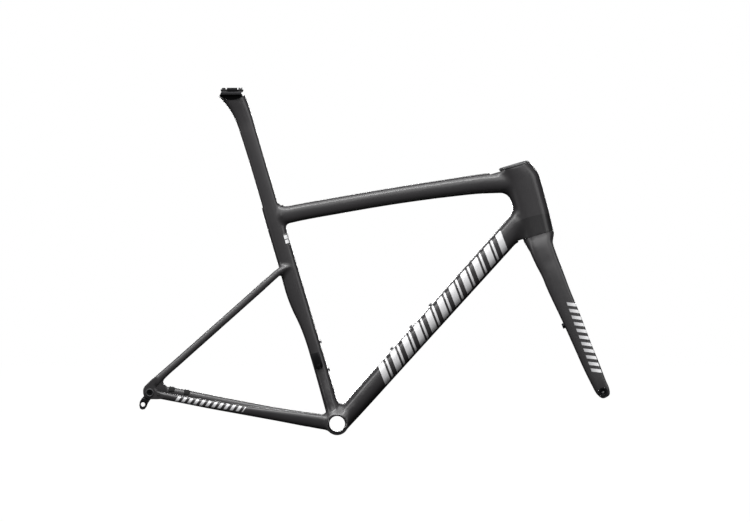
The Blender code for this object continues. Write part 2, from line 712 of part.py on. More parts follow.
def build_axles(front, rear):
    """Thru axles: a plain shaft with a low head and a hex socket on the brake side."""
    for word, body, place, reach, start in (
        ("front", front, FRONT_AXLE, HUB_FRONT + 12.6, -61.0),
        ("rear", rear, REAR_AXLE, 79.6, -81.5),
    ):
        outline = (
            (0, start),
            (AXLE_RADIUS - 0.9, start),
            (AXLE_RADIUS, start + 0.9),
            (AXLE_RADIUS, reach),
            (8.6, reach),
            (8.6, reach + 2.8),
            (7.6, reach + 3.8),
            (0, reach + 3.8),
        )
        axle = turned(f"{word}_axle", outline, place, SIDE, ALLOY_BLACK, body)
        sockets = (
            rod(f"cut_{word}_socket", place + SIDE * (reach + 3), SIDE, 3.5, 8, count=6),
            rod(f"cut_{word}_end", place + SIDE * start, SIDE, 3.5, 7, count=6),
        )
        cut(axle, *sockets)


# Seatpost and saddle clamp --------------------------------------------------------------------
def build_seatpost(body):
    """The aero post, hollow from below, with the round seat for the saddle cradle on top."""
    post = loft("seatpost", bands(SEAT, SEATPOST, **SEAT_SHAPE), CARBON, body)
    hollow = ((POST_FOOT - 5,) + SEATPOST[0][1:],) + SEATPOST[1:3]
    inside = loft("cut_post_inside", bands(SEAT, hollow, -WALL, **SEAT_SHAPE))
    seat_arc = rod("cut_cradle_seat", TILT_CENTRE, SIDE, TILT_RADIUS, 80, count=96)
    cup = block("cut_head_cup", Vector((-231, 0, 713)), (26, 19, 24))
    cut(post, inside, seat_arc, cup)


def arc_outline(radius, half_span, top):
    """A boat outline: an arc about the tilt centre below, flat above."""
    reach = math.asin(half_span / radius)
    points = []
    for i in range(13):
        turn = -reach + 2 * reach * i / 12
        x = TILT_CENTRE.x + radius * math.sin(turn)
        points.append((x, TILT_CENTRE.z - radius * math.cos(turn)))
    return points + [(TILT_CENTRE.x + half_span - 5, top), (TILT_CENTRE.x - half_span + 5, top)]


def build_saddle_clamp(body):
    """Cradle below the rails, yoke above them, and the two bolts that pull them together."""
    outline = arc_outline(TILT_RADIUS - GAP, 26.0, RAIL_HEIGHT - 0.9)
    cradle = prism("saddle_cradle", outline, -27, 27, ALLOY_BLACK, body)
    yoke = block("saddle_yoke", Vector((-230.5, 0, 734.7)), (23, 54, 7), ALLOY_BLACK, body)
    arm = block("add_yoke_arm", Vector((-231, 0, 733.2)), (50, 13, 4))
    join(yoke, arm)
    for word, side in (("right", -1), ("left", 1)):
        place = Vector((TILT_CENTRE.x, side * RAIL_SIDE, RAIL_HEIGHT))
        groove = rod(f"cut_rail_{word}", place, Vector((1, 0, 0)), 3.7, 90, count=16)
        cut(cradle, groove)
        cut(yoke, groove)
    head = ((0, -17), (2.3, -17), (2.3, 0.3), (4.4, 0.3), (4.4, 3.4), (3.8, 4.0), (0, 4.0))
    knob = ((0, -15), (2.3, -15), (2.3, 0.3), (4.2, 0.3), (4.2, 2.6), (3.4, 3.2), (0, 3.2))
    up = Vector((0, 0, 1))
    for word, x, shape, look in (
        ("front", -212.5, head, ALLOY_SILVER),
        ("rear", -249.5, knob, ALLOY_BLACK),
    ):
        place = Vector((x, 0, 735.2))
        hole = rod(f"cut_clamp_{word}", place, up, 2.7, 50, count=16)
        cut(cradle, hole)
        cut(yoke, hole)
        bolt = turned(f"clamp_bolt_{word}", shape, place, up, look, body, steps=20)
        cut(bolt, rod(f"cut_clamp_hex_{word}", place + up * 3.6, up, 2.2, 4, count=6))


def main():
    fork = pivot("fork_pivot", STEER.at(0))
    front = pivot("front_axle_pivot", FRONT_AXLE, fork)
    rear = pivot("rear_axle_pivot", REAR_AXLE)
    post = pivot("seatpost_pivot", SEAT.at(SEAT_RIM))
    clamp = pivot("saddle_clamp_pivot", TILT_CENTRE, post)
    tubes = build_main_tubes()
    build_shell_sleeve()
    build_rear(tubes)
    build_hanger(tubes)
    build_bottle_bolts(tubes)
    build_front_derailleur_mount(tubes)
    build_seat_wedge(tubes)
    build_rear_brake_inserts(tubes)
    build_headset(fork)
    build_fork(fork)
    build_axles(front, rear)
    build_seatpost(post)
    build_saddle_clamp(clamp)


clear_scene()
PARTS = collection("bicycle_frameset")
CUTTERS = collection("cutters", hidden=True)
CARBON = finish("satin_charcoal_carbon", (0.055, 0.057, 0.06), 0.42, 0.0)
ALLOY_BLACK = finish("black_anodised_alloy", (0.03, 0.03, 0.032), 0.38, 0.9)
ALLOY_SILVER = finish("silver_alloy", (0.62, 0.62, 0.63), 0.3, 1.0)
STEEL = finish("dark_steel", (0.16, 0.16, 0.17), 0.3, 1.0)
PLASTIC = finish("matte_plastic", (0.05, 0.05, 0.053), 0.55, 0.0)
RUBBER = finish("black_rubber", (0.02, 0.02, 0.02), 0.8, 0.0)
main()
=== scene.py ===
import json
import math

import bmesh
import bpy
from mathutils import Matrix, Vector


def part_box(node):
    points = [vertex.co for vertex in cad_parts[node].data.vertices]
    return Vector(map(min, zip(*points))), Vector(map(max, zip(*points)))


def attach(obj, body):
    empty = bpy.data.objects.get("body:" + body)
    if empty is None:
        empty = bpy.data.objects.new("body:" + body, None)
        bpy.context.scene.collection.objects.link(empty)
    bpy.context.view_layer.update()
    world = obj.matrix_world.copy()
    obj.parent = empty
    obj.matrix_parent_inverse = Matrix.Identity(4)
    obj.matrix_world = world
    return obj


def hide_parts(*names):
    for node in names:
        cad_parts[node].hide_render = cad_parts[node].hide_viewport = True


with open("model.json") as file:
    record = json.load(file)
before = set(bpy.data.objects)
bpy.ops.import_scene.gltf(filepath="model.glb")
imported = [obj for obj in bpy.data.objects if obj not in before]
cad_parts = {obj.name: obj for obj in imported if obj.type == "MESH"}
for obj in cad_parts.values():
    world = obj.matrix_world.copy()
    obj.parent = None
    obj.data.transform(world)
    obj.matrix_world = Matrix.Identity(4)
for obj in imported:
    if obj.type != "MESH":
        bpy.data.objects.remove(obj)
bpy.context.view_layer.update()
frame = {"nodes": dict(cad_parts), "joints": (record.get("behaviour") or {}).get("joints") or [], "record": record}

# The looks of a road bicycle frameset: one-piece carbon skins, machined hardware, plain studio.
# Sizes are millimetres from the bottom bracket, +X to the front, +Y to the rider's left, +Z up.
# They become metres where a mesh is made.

MM = 0.001
ROOM_LIGHT = 0.01
LIT_SPOT = Vector((0.1, 0, 0.35))
SKIN_VOXEL = 1.95
STAY_VOXEL = 1.15
FORK_VOXEL = 1.4
HEAD_FILLET = 18.0
STAY_FILLET = 6.0
CROWN_FILLET = 8.0
SIDE = Vector((0, 1, 0))
UP = Vector((0, 0, 1))
JOINTS = {joint["name"]: joint for joint in frame["joints"]}


class Axis:
    """A leaning line in the middle plane. Height runs up along it, reach runs ahead of it."""

    def __init__(self, foot, up):
        self.foot = Vector(foot)
        self.up = Vector(up).normalized()
        self.ahead = SIDE.cross(self.up)

    def at(self, height, reach=0.0, side=0.0):
        return self.foot + self.up * height + self.ahead * reach + SIDE * side


def middle(node):
    """The centre of a node's box, in the middle plane."""
    low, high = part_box(node)
    return Vector((low.x + high.x, 0, low.z + high.z)) / 2 / MM


STEER = Axis(Vector(JOINTS["steering"]["pos_m"]) / MM, JOINTS["steering"]["axis"])
SEAT = Axis((-5.0, 0, 0), JOINTS["seatpost_height"]["axis"])
TILT_CENTRE = Vector(JOINTS["saddle_tilt"]["pos_m"]) / MM
REAR_AXLE = middle("rear_axle")
FRONT_AXLE = middle("front_axle")
SHELL_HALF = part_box("bottom_bracket_sleeve")[1].y / MM
SHELL_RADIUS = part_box("bottom_bracket_shell")[1].z / MM
HEAD_LENGTH = 157.0
SEAT_RIM = 500.0
POST_TOE = 384.0
HUB_REAR = 71.0
HUB_FRONT = 50.0
DRIVE_FACE = 74.3
DRIVE_OUTSIDE = 81.0
BRAKE_OUTSIDE = 79.3
SPLIT_BEHIND = 62.0
STEERER_BORE = 21.0
BEARING_SEAT = 26.0
BEARING_DEPTH = 8.0
SHELL_BORE = 20.3
CRADLE_ARC = 43.9
CLAMP_SCREWS = (-212.5, -249.5)
REAR_KINDS = ("chain_stay", "seat_stay", "rear_dropout")

# height along the steering line, rear reach, front reach, width
HEAD_TUBE = (
    (-4.0, -31.0, 41.6, 60.2),
    (0.0, -31.0, 41.8, 60.0),
    (30.0, -30.0, 43.8, 58.5),
    (70.0, -29.5, 45.2, 57.5),
    (110.0, -29.5, 46.0, 57.5),
    (128.0, -30.5, 45.8, 57.5),
    (143.0, -32.0, 41.2, 58.0),
    (157.0, -33.6, 34.5, 58.0),
    (161.0, -34.0, 32.6, 58.0),
)
# the same, then how square the section is
CROWN = (
    (-98.0, -8.0, 37.0, 79.0, 6.0),
    (-81.0, -12.4, 36.2, 80.6, 6.5),
    (-64.0, -16.6, 34.9, 78.2, 6.5),
    (-54.0, -18.5, 34.4, 76.8, 6.0),
    (-42.0, -20.6, 34.0, 75.0, 5.2),
    (-32.0, -22.4, 33.7, 73.2, 4.5),
    (-21.0, -24.2, 35.0, 70.0, 3.8),
    (-13.0, -26.0, 38.6, 66.0, 3.2),
    (-6.0, -27.6, 42.2, 61.8, 2.8),
    (-0.8, -28.0, 41.8, 60.0, 2.7),
    (3.0, -28.2, 41.4, 59.4, 2.7),
)
# height along the seat line, rear reach, front reach, width
SEAT_TUBE = (
    (0.0, -12.0, 21.0, 58.0),
    (12.0, -12.0, 21.0, 57.6),
    (35.0, -11.5, 20.5, 55.0),
    (60.0, -11.0, 20.0, 49.0),
    (100.0, -10.2, 19.8, 38.0),
    (139.0, -9.8, 19.8, 32.0),
    (203.0, -10.5, 19.8, 29.0),
    (222.0, -12.0, 19.8, 28.5),
    (241.0, -14.4, 19.8, 28.0),
    (262.0, -18.0, 19.8, 28.0),
    (279.0, -20.0, 19.8, 28.0),
    (380.0, -20.0, 19.8, 28.0),
    (463.0, -20.0, 19.8, 28.0),
    (487.0, -19.6, 19.8, 27.8),
    (508.0, -18.8, 19.8, 27.4),
)
SEATPOST = (
    (POST_TOE, -17.6, 17.6, 22.0),
    (664.0, -17.6, 17.6, 22.0),
    (690.0, -18.4, 17.8, 22.6),
    (702.0, -19.6, 17.9, 24.0),
    (720.0, -23.0, 17.8, 27.0),
    (735.0, -27.6, 17.0, 30.5),
    (748.0, -33.2, 15.8, 33.0),
    (760.0, -39.0, 13.8, 34.0),
    (768.0, -41.6, 11.4, 34.0),
)
# x, z of the centre, side, depth across the run, width
TOP_TUBE = (
    (-127.0, 458.2, 0, 42.5, 27.5),
    (-107.0, 459.6, 0, 38.6, 28.5),
    (-90.0, 463.2, 0, 38.0, 29.5),
    (-1.5, 479.3, 0, 37.2, 31.0),
    (139.0, 503.0, 0, 37.5, 34.0),
    (245.0, 518.3, 0, 40.0, 38.0),
    (315.0, 527.2, 0, 43.6, 43.0),
    (350.0, 530.0, 0, 46.6, 47.0),
    (386.0, 531.2, 0, 46.6, 50.0),
)
DOWN_TUBE = (
    (8.0, 4.0, 0, 42.0, 60.0),
    (34.0, 33.0, 0, 43.6, 59.0),
    (90.0, 95.5, 0, 45.0, 54.0),
    (200.0, 218.4, 0, 47.2, 50.5),
    (300.0, 330.1, 0, 49.6, 49.0),
    (368.0, 406.0, 0, 50.8, 50.0),
    (402.0, 444.0, 0, 51.0, 50.0),
)
DRIVE_STAY = (
    (-14.0, 1.0, 23.0, 33.0, 19.0),
    (-40.0, 5.0, 24.5, 32.0, 18.5),
    (-72.0, 10.0, 28.5, 30.0, 17.0),
    (-130.0, 18.7, 36.5, 25.0, 14.0),
    (-203.0, 30.0, 48.5, 20.6, 14.5),
    (-280.0, 43.0, 61.0, 18.0, 14.5),
    (-350.0, 56.0, 72.0, 16.0, 13.0),
    (-392.0, 64.0, 77.0, 16.0, 9.0),
)
BRAKE_STAY = (
    (-14.0, 1.0, 23.0, 33.0, 19.0),
    (-40.0, 5.5, 24.5, 33.0, 18.5),
    (-72.0, 10.6, 28.5, 31.2, 17.0),
    (-130.0, 20.4, 36.5, 28.4, 14.0),
    (-203.0, 34.0, 48.5, 28.0, 15.0),
    (-280.0, 48.7, 61.0, 28.0, 16.0),
    (-350.0, 62.6, 71.0, 28.0, 16.0),
    (-374.0, 66.6, 74.0, 28.0, 13.0),
    (-392.0, 69.5, 75.0, 24.0, 9.0),
)
SEAT_STAY = (
    (-101.0, 345.0, 11.5, 5.0, 6.4),
    (-111.0, 343.0, 13.4, 10.0, 8.6),
    (-126.0, 335.6, 18.0, 15.2, 11.0),
    (-142.0, 321.7, 21.8, 16.2, 11.5),
    (-200.0, 269.9, 32.5, 16.2, 11.5),
    (-280.0, 198.7, 49.5, 16.2, 12.0),
    (-350.0, 136.4, 64.5, 16.2, 12.0),
    (-384.0, 106.2, 72.0, 17.0, 11.0),
    (-400.0, 91.0, 75.5, 20.0, 9.0),
)
FORK_LEG = (
    (443.8, 407.6, 20.5, 48.0, 10.0),
    (448.3, 391.2, 26.8, 53.0, 13.4),
    (453.7, 375.1, 29.9, 53.2, 15.3),
    (461.0, 357.0, 30.9, 51.8, 16.2),
    (469.3, 339.0, 33.0, 49.0, 16.5),
    (486.3, 297.0, 36.7, 45.4, 16.0),
    (517.0, 227.0, 42.5, 41.0, 15.0),
    (539.0, 174.0, 47.0, 37.4, 14.5),
    (561.5, 121.0, 52.0, 35.0, 13.5),
    (576.2, 88.0, 55.6, 31.4, 12.6),
    (584.4, 71.0, 56.2, 29.4, 12.4),
    (589.2, 61.8, 56.2, 22.0, 12.4),
    (590.8, 58.8, 56.2, 12.0, 11.0),
)


# Shapes ---------------------------------------------------------------------------------------
def eased(rows, step):
    """The rows with more between them, on a curve through all of their columns."""
    spans = [math.dist(a[:2], b[:2]) for a, b in zip(rows, rows[1:])]
    slopes = []
    for i, row in enumerate(rows):
        ends = [k for k in (i - 1, i) if 0 <= k < len(spans)]
        rates = [[(b - a) / spans[k] for a, b in zip(rows[k], rows[k + 1])] for k in ends]
        if len(ends) == 1:
            slopes.append(rates[0])
            continue
        total = spans[i - 1] + spans[i]
        slopes.append([(p * spans[i] + q * spans[i - 1]) / total for p, q in zip(*rates)])
    made = []
    for k, span in enumerate(spans):
        count = max(1, round(span / step))
        for i in range(count):
            t = i / count
            weights = (
                2 * t**3 - 3 * t**2 + 1,
                (t**3 - 2 * t**2 + t) * span,
                3 * t**2 - 2 * t**3,
                (t**3 - t**2) * span,
            )
            columns = zip(rows[k], slopes[k], rows[k + 1], slopes[k + 1])
            made.append(tuple(sum(w * v for w, v in zip(weights, four)) for four in columns))
    return made + [rows[-1]]


def ring(bm, centre, across, depth, width, front=2.3, back=2.3, count=48):
    """A superellipse loop whose front and back halves may differ in squareness. Gives its edges."""
    loop = bmesh.ops.create_circle(bm, segments=count, radius=1)["verts"]
    for vert in loop:
        run, wide = vert.co.x, vert.co.y
        power = 2 / (front if run > 0 else back)
        run = math.copysign(abs(run) ** power, run) * depth / 2
        wide = math.copysign(abs(wide) ** power, wide) * width / 2
        vert.co = centre + across * run + SIDE * wide
    return list({edge for vert in loop for edge in vert.link_edges})


def skin(bm, rings):
    """Bridges loops of edges into one closed tube."""
    for low, high in zip(rings, rings[1:]):
        bmesh.ops.bridge_loops(bm, edges=low + high)
    for end in (rings[0], rings[-1]):
        bmesh.ops.holes_fill(bm, edges=end, sides=0)


def band_tube(bm, axis, rows, grow=0.0, step=6, **shape):
    """A tube of rings square to a leaning axis."""
    rings = []
    for height, rear, front, width, *square in eased(rows, step):
        centre = axis.at(height, (rear + front) / 2)
        for power in square:
            shape = {"front": power, "back": power}
        rings.append(
            ring(bm, centre, axis.ahead, front - rear + 2 * grow, width + 2 * grow, **shape)
        )
    skin(bm, rings)


def run_tube(bm, rows, side=1, step=8, **shape):
    """A tube of rings square to its own run."""
    rows = eased(rows, step)
    centres = [Vector((row[0], side * row[2], row[1])) for row in rows]
    rings = []
    for i, row in enumerate(rows):
        along = centres[min(i + 1, len(rows) - 1)] - centres[max(i - 1, 0)]
        across = Vector((-along.z, 0, along.x)).normalized()
        if across.x < 0:
            across.negate()
        rings.append(ring(bm, centres[i], across, row[3], row[4], **shape))
    skin(bm, rings)


def rod(bm, centre, direction, radius, length, count=64):
    """A plain cylinder about its centre."""
    made = bmesh.ops.create_cone(
        bm,
        cap_ends=True,
        segments=count,
        radius1=radius,
        radius2=radius,
        depth=length,
    )
    turn = direction.to_track_quat("Z", "Y").to_matrix().to_4x4()
    bmesh.ops.transform(bm, matrix=Matrix.Translation(centre) @ turn, verts=made["verts"])


def block(bm, centre, size, axis=None):
    """A box. On an axis, its size runs ahead, sideways and up."""
    made = bmesh.ops.create_cube(bm, size=1)["verts"]
    bmesh.ops.scale(bm, vec=size, verts=made)
    if axis is not None:
        turn = Matrix((axis.ahead, SIDE, axis.up)).transposed().to_4x4()
        bmesh.ops.transform(bm, matrix=turn, verts=made)
    bmesh.ops.translate(bm, vec=centre, verts=made)


def plate(bm, outline, low, high):
    """An outline of (x, z) points, extruded sideways from low to high."""
    face = bm.faces.new([bm.verts.new((x, low, z)) for x, z in outline])
    grown = bmesh.ops.extrude_face_region(bm, geom=[face])
    moved = [v for v in grown["geom"] if isinstance(v, bmesh.types.BMVert)]
    bmesh.ops.translate(bm, vec=(0, high - low, 0), verts=moved)


def add(bm, part):
    """Moves a part's mesh into another."""
    mesh = bpy.data.meshes.new("part")
    part.to_mesh(mesh)
    part.free()
    bm.from_mesh(mesh)
    bpy.data.meshes.remove(mesh)


def lathe(bm, outline, centre, direction, steps=48):
    """Spins an outline of (radius, height) points about a line.

    An outline that starts on the line is closed by it, any other is closed to a ring.
    """
    part = bmesh.new()
    line = [part.verts.new((radius, 0, height)) for radius, height in outline]
    for pair in zip(line, line[1:]):
        part.edges.new(pair)
    if outline[0][0] > 0:
        part.edges.new((line[-1], line[0]))
    bmesh.ops.spin(
        part,
        geom=part.verts[:] + part.edges[:],
        cent=(0, 0, 0),
        axis=UP,
        angle=2 * math.pi,
        steps=steps,
        use_merge=True,
    )
    bmesh.ops.remove_doubles(part, verts=part.verts, dist=0.001)
    turn = direction.to_track_quat("Z", "Y").to_matrix().to_4x4()
    bmesh.ops.transform(part, matrix=Matrix.Translation(centre) @ turn, verts=part.verts)
    add(bm, part)


def soften(bm, width, angle=30, segments=2):
    """Bevels the sharp edges."""
    sharp = [e for e in bm.edges if e.is_manifold and e.calc_face_angle() > math.radians(angle)]
    bmesh.ops.bevel(
        bm,
        geom=sharp,
        offset=width,
        affect="EDGES",
        segments=segments,
        profile=0.5,
        material=-1,
        clamp_overlap=True,
    )


def copy_of(node):
    """A CAD node's mesh in millimetres, merged and with its flat faces made whole."""
    bm = bmesh.new()
    bm.from_mesh(frame["nodes"][node].data)
    bmesh.ops.scale(bm, vec=(1 / MM,) * 3, verts=bm.verts)
    bmesh.ops.remove_doubles(bm, verts=bm.verts, dist=0.002)
    bmesh.ops.dissolve_limit(bm, angle_limit=math.radians(0.5), verts=bm.verts, edges=bm.edges)
    return bm


def thing(name, bm):
    """The bmesh as an object in metres, with its normals out."""
    bmesh.ops.recalc_face_normals(bm, faces=bm.faces)
    bmesh.ops.scale(bm, vec=(MM,) * 3, verts=bm.verts)
    mesh = bpy.data.meshes.new(name)
    bm.to_mesh(mesh)
    bm.free()
    made = bpy.data.objects.new(name, mesh)
    bpy.context.scene.collection.objects.link(made)
    return made


def settle(made):
    """Applies an object's modifiers."""
    bpy.context.view_layer.update()
    graph = bpy.context.evaluated_depsgraph_get()
    mesh = bpy.data.meshes.new_from_object(made.evaluated_get(graph))
    made.modifiers.clear()
    old = made.data
    made.data = mesh
    bpy.data.meshes.remove(old)


def melt(made, voxel, fillet, calm=8):
    """Joins overlapping shapes to one skin and rounds the hollows between them to a radius."""
    for offset in (fillet, -fillet, 0):
        remesh = made.modifiers.new("Skin", "REMESH")
        remesh.mode = "VOXEL"
        remesh.voxel_size = voxel * MM
        if offset:
            push = made.modifiers.new("Push", "DISPLACE")
            push.strength = offset * MM
            push.mid_level = 0
    if calm:
        smooth = made.modifiers.new("Calm", "SMOOTH")
        smooth.factor = 0.5
        smooth.iterations = calm
    settle(made)


def calm_around(made, centre, far, near, turns):
    """Smooths a skin round a place, fading out from the near to the far distance."""
    bm = bmesh.new()
    bm.from_mesh(made.data)
    close = bm.verts[:]
    for i in range(turns):
        reach = (far + (near - far) * i / turns) * MM
        close = [vert for vert in close if (vert.co - centre * MM).length < reach]
        bmesh.ops.smooth_vert(
            bm, verts=close, factor=0.5, use_axis_x=True, use_axis_y=True, use_axis_z=True
        )
    bm.to_mesh(made.data)
    bm.free()


def carve(made, bm, solver="EXACT"):
    """Cuts shapes out of a piece."""
    cutter = thing("cutter", bm)
    cut = made.modifiers.new("Cut", "BOOLEAN")
    cut.operation = "DIFFERENCE"
    cut.solver = solver
    cut.object = cutter
    settle(made)
    bpy.data.objects.remove(cutter)


def fit(made, look, body, replaces=(), sharp=35):
    """Shades a finished piece, gives it its material and puts it on its body."""
    made.data.shade_smooth()
    made.data.set_sharp_from_angle(angle=math.radians(sharp))
    made.data.materials.clear()
    made.data.materials.append(look)
    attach(made, body)
    if replaces:
        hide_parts(*replaces)
    return made


HEAD_SHAPE = {"front": 2.7, "back": 2.7}
SEAT_SHAPE = {"front": 2.2, "back": 3.4}
TUBE_SHAPE = {"front": 2.6, "back": 2.6}
LEG_SHAPE = {"front": 2.8, "back": 2.8}
STAY_SHAPE = {"front": 2.4, "back": 2.4, "count": 40}


# Carbon skins ---------------------------------------------------------------------------------
DRIVE_WEB = (
    (-378.0, 58.0),
    (-379.0, 66.0),
    (-390.0, 69.5),
    (-398.5, 77.0),
    (-400.0, 85.0),
    (-396.5, 94.0),
)
BRAKE_WEB = ((-372.5, 60.0), (-366.0, 74.0), (-375.5, 80.5), (-382.5, 87.5), (-386.5, 99.0))


def dropout_outline(web):
    """The rear end plate seen from the side, round behind the axle, with the web to the stays."""
    back = [
        REAR_AXLE + Vector((math.cos(turn), 0, math.sin(turn))) * 14.4
        for turn in (math.radians(180 + 90 * i / 8) for i in range(9))
    ]
    return (
        [(-397.0, 106.0), (-406.8, 97.8), (-421.6, 83.4), (-425.1, 77.0)]
        + [(point.x, point.z) for point in back]
        + [(-395.0, 54.6), (-381.0, 55.4)]
        + list(web)
    )


def grown_from(made, bm):
    """Replaces an object's mesh with the bmesh."""
    old = made.data
    fresh = thing("fresh", bm)
    made.data = fresh.data
    bpy.data.objects.remove(fresh)
    bpy.data.meshes.remove(old)


def in_millimetres(made):
    """An object's mesh as a bmesh at the drawing's scale."""
    bm = bmesh.new()
    bm.from_mesh(made.data)
    bmesh.ops.scale(bm, vec=(1 / MM,) * 3, verts=bm.verts)
    return bm


def add_rear(bm):
    """Seat tube, shell, stays and end plates. The drive side is -Y, the brake side +Y."""
    band_tube(bm, SEAT, SEAT_TUBE, **SEAT_SHAPE)
    rod(bm, Vector(), SIDE, SHELL_RADIUS, 2 * SHELL_HALF + 2)
    for side, rows, web, low, high in (
        (-1, DRIVE_STAY, DRIVE_WEB, -DRIVE_OUTSIDE, -DRIVE_FACE),
        (1, BRAKE_STAY, BRAKE_WEB, HUB_REAR, BRAKE_OUTSIDE),
    ):
        run_tube(bm, rows, side, **STAY_SHAPE)
        run_tube(bm, SEAT_STAY, side, **STAY_SHAPE)
        plate(bm, dropout_outline(web), low, high)


def keep_side(made, ahead):
    """Cuts a skin across the stays and keeps what is ahead of the cut, or behind it."""
    bm = bmesh.new()
    bm.from_mesh(made.data)
    cut = bmesh.ops.bisect_plane(
        bm,
        geom=bm.verts[:] + bm.edges[:] + bm.faces[:],
        plane_co=SEAT.at(0, -SPLIT_BEHIND) * MM,
        plane_no=SEAT.ahead,
        clear_inner=ahead,
        clear_outer=not ahead,
    )
    rims = [item for item in cut["geom_cut"] if isinstance(item, bmesh.types.BMEdge)]
    bmesh.ops.holes_fill(bm, edges=rims, sides=0)
    bm.to_mesh(made.data)
    bm.free()


def make_frame_skin():
    """All of the frame's carbon, as a front and a finer rear skin that meet across the stays."""
    bm = bmesh.new()
    band_tube(bm, STEER, HEAD_TUBE, **HEAD_SHAPE)
    run_tube(bm, TOP_TUBE, **TUBE_SHAPE)
    run_tube(bm, DOWN_TUBE, **TUBE_SHAPE)
    front = thing("frame_skin_front", bm)
    melt(front, SKIN_VOXEL, HEAD_FILLET, calm=0)
    bm = in_millimetres(front)
    add_rear(bm)
    grown_from(front, bm)
    melt(front, SKIN_VOXEL, STAY_FILLET, calm=8)
    for side in (-1, 1):
        calm_around(front, Vector((14, 22 * side, 42)), 46.0, 24.0, 60)
    keep_side(front, True)

    bm = bmesh.new()
    add_rear(bm)
    rear = thing("frame_skin_rear", bm)
    melt(rear, STAY_VOXEL, STAY_FILLET, calm=8)
    keep_side(rear, False)
    for skin_piece in (front, rear):
        carve_frame_skin(skin_piece)
    return front, rear


def carve_frame_skin(whole):
    """Crisp faces and holes: head tube ends, bearing seats, shell, seatpost bore, axle holes."""
    bm = bmesh.new()
    block(bm, STEER.at(-20, 4.5), (87, 90, 40), STEER)
    block(bm, STEER.at(HEAD_LENGTH + 20, -2), (110, 90, 40), STEER)
    carve(whole, bm, "MANIFOLD")
    outline = (
        (0, -30),
        (BEARING_SEAT, -30),
        (BEARING_SEAT, BEARING_DEPTH),
        (STEERER_BORE, BEARING_DEPTH),
        (STEERER_BORE, HEAD_LENGTH - BEARING_DEPTH),
        (BEARING_SEAT, HEAD_LENGTH - BEARING_DEPTH),
        (BEARING_SEAT, HEAD_LENGTH + 30),
        (0, HEAD_LENGTH + 30),
    )
    bm = bmesh.new()
    lathe(bm, outline, STEER.at(0), STEER.up, steps=64)
    rod(bm, Vector(), SIDE, SHELL_BORE, 200, count=96)
    carve(whole, bm, "MANIFOLD")
    bm = bmesh.new()
    for side in (-1, 1):
        rod(bm, SIDE * side * (SHELL_HALF + 11.5), SIDE, 26.5, 24, count=96)
    block(bm, SEAT.at(SEAT_RIM + 15, -10), (62, 60, 30), SEAT)
    carve(whole, bm, "MANIFOLD")
    bm = bmesh.new()
    bore = ((288.0, -17.9, 17.9, 22.6), (SEAT_RIM + 20, -17.9, 17.9, 22.6))
    band_tube(bm, SEAT, bore, step=400, **SEAT_SHAPE)
    for side, inner, radius in ((-1, DRIVE_FACE, 8.3), (1, HUB_REAR, 6.2)):
        rod(bm, REAR_AXLE + SIDE * side * 90, SIDE, radius, 60)
        block(bm, Vector((-404, side * (inner - 8), 78)), (60, 16, 60))
    carve(whole, bm, "MANIFOLD")


def make_fork_skin():
    """Crown and legs as one skin."""
    bm = bmesh.new()
    band_tube(bm, STEER, CROWN, step=4)
    made = thing("fork_skin", bm)
    bm = bmesh.new()
    rod(bm, STEER.at(-40), STEER.ahead, 22.0, 160, count=96)
    carve(made, bm)
    bm = bmesh.new()
    block(bm, STEER.at(-90), (160, 44, 100), STEER)
    carve(made, bm)
    bm = in_millimetres(made)
    for side in (-1, 1):
        run_tube(bm, FORK_LEG, side, **LEG_SHAPE)
    grown_from(made, bm)
    melt(made, FORK_VOXEL, CROWN_FILLET, calm=8)
    for side in (-1, 1):
        calm_around(made, STEER.at(-62, 8, 34 * side), 52.0, 26.0, 60)
    bm = bmesh.new()
    block(bm, STEER.at(20 - 0.8, 6), (110, 90, 40), STEER)
    carve(made, bm, "MANIFOLD")
    bm = bmesh.new()
    rod(bm, STEER.at(-2), STEER.up, 17.3, 20.6)
    for side in (-1, 1):
        rod(bm, FRONT_AXLE + SIDE * side * 56, SIDE, 10.3, 30)
        block(bm, FRONT_AXLE + SIDE * side * (HUB_FRONT - 4), (60, 8, 60))
    carve(made, bm, "MANIFOLD")
    return made


def make_seatpost_skin():
    """The aero post, hollow from below, with the round seat for the saddle cradle on top."""
    bm = bmesh.new()
    band_tube(bm, SEAT, SEATPOST, step=3, count=72, **SEAT_SHAPE)
    made = thing("seatpost_skin", bm)
    bm = bmesh.new()
    rod(bm, TILT_CENTRE, SIDE, CRADLE_ARC, 80, count=160)
    carve(made, bm)
    bm = bmesh.new()
    hollow = ((POST_TOE - 4, *SEATPOST[0][1:]), *SEATPOST[1:3])
    band_tube(bm, SEAT, hollow, grow=-2.2, **SEAT_SHAPE)
    block(bm, Vector((-231, 0, 713)), (26, 19, 24))
    carve(made, bm)
    return made


# Materials ------------------------------------------------------------------------------------
class Value:
    """A shader socket that takes part in Python arithmetic."""

    def __init__(self, finish, socket):
        self.finish = finish
        self.socket = socket

    def math(self, operation, *others):
        made = self.finish.node(
            "ShaderNodeMath", {"operation": operation}, dict(enumerate((self, *others)))
        )
        return Value(self.finish, made.outputs[0])

    def __add__(self, other):
        return self.math("ADD", other)

    def __sub__(self, other):
        return self.math("SUBTRACT", other)

    def __rsub__(self, other):
        return (self * -1).math("ADD", other)

    def __mul__(self, other):
        return self.math("MULTIPLY", other)

    def __truediv__(self, other):
        return self.math("DIVIDE", other)

    def __gt__(self, other):
        return self.math("GREATER_THAN", other)

    def __lt__(self, other):
        return self.math("LESS_THAN", other)

    __radd__ = __add__
    __rmul__ = __mul__


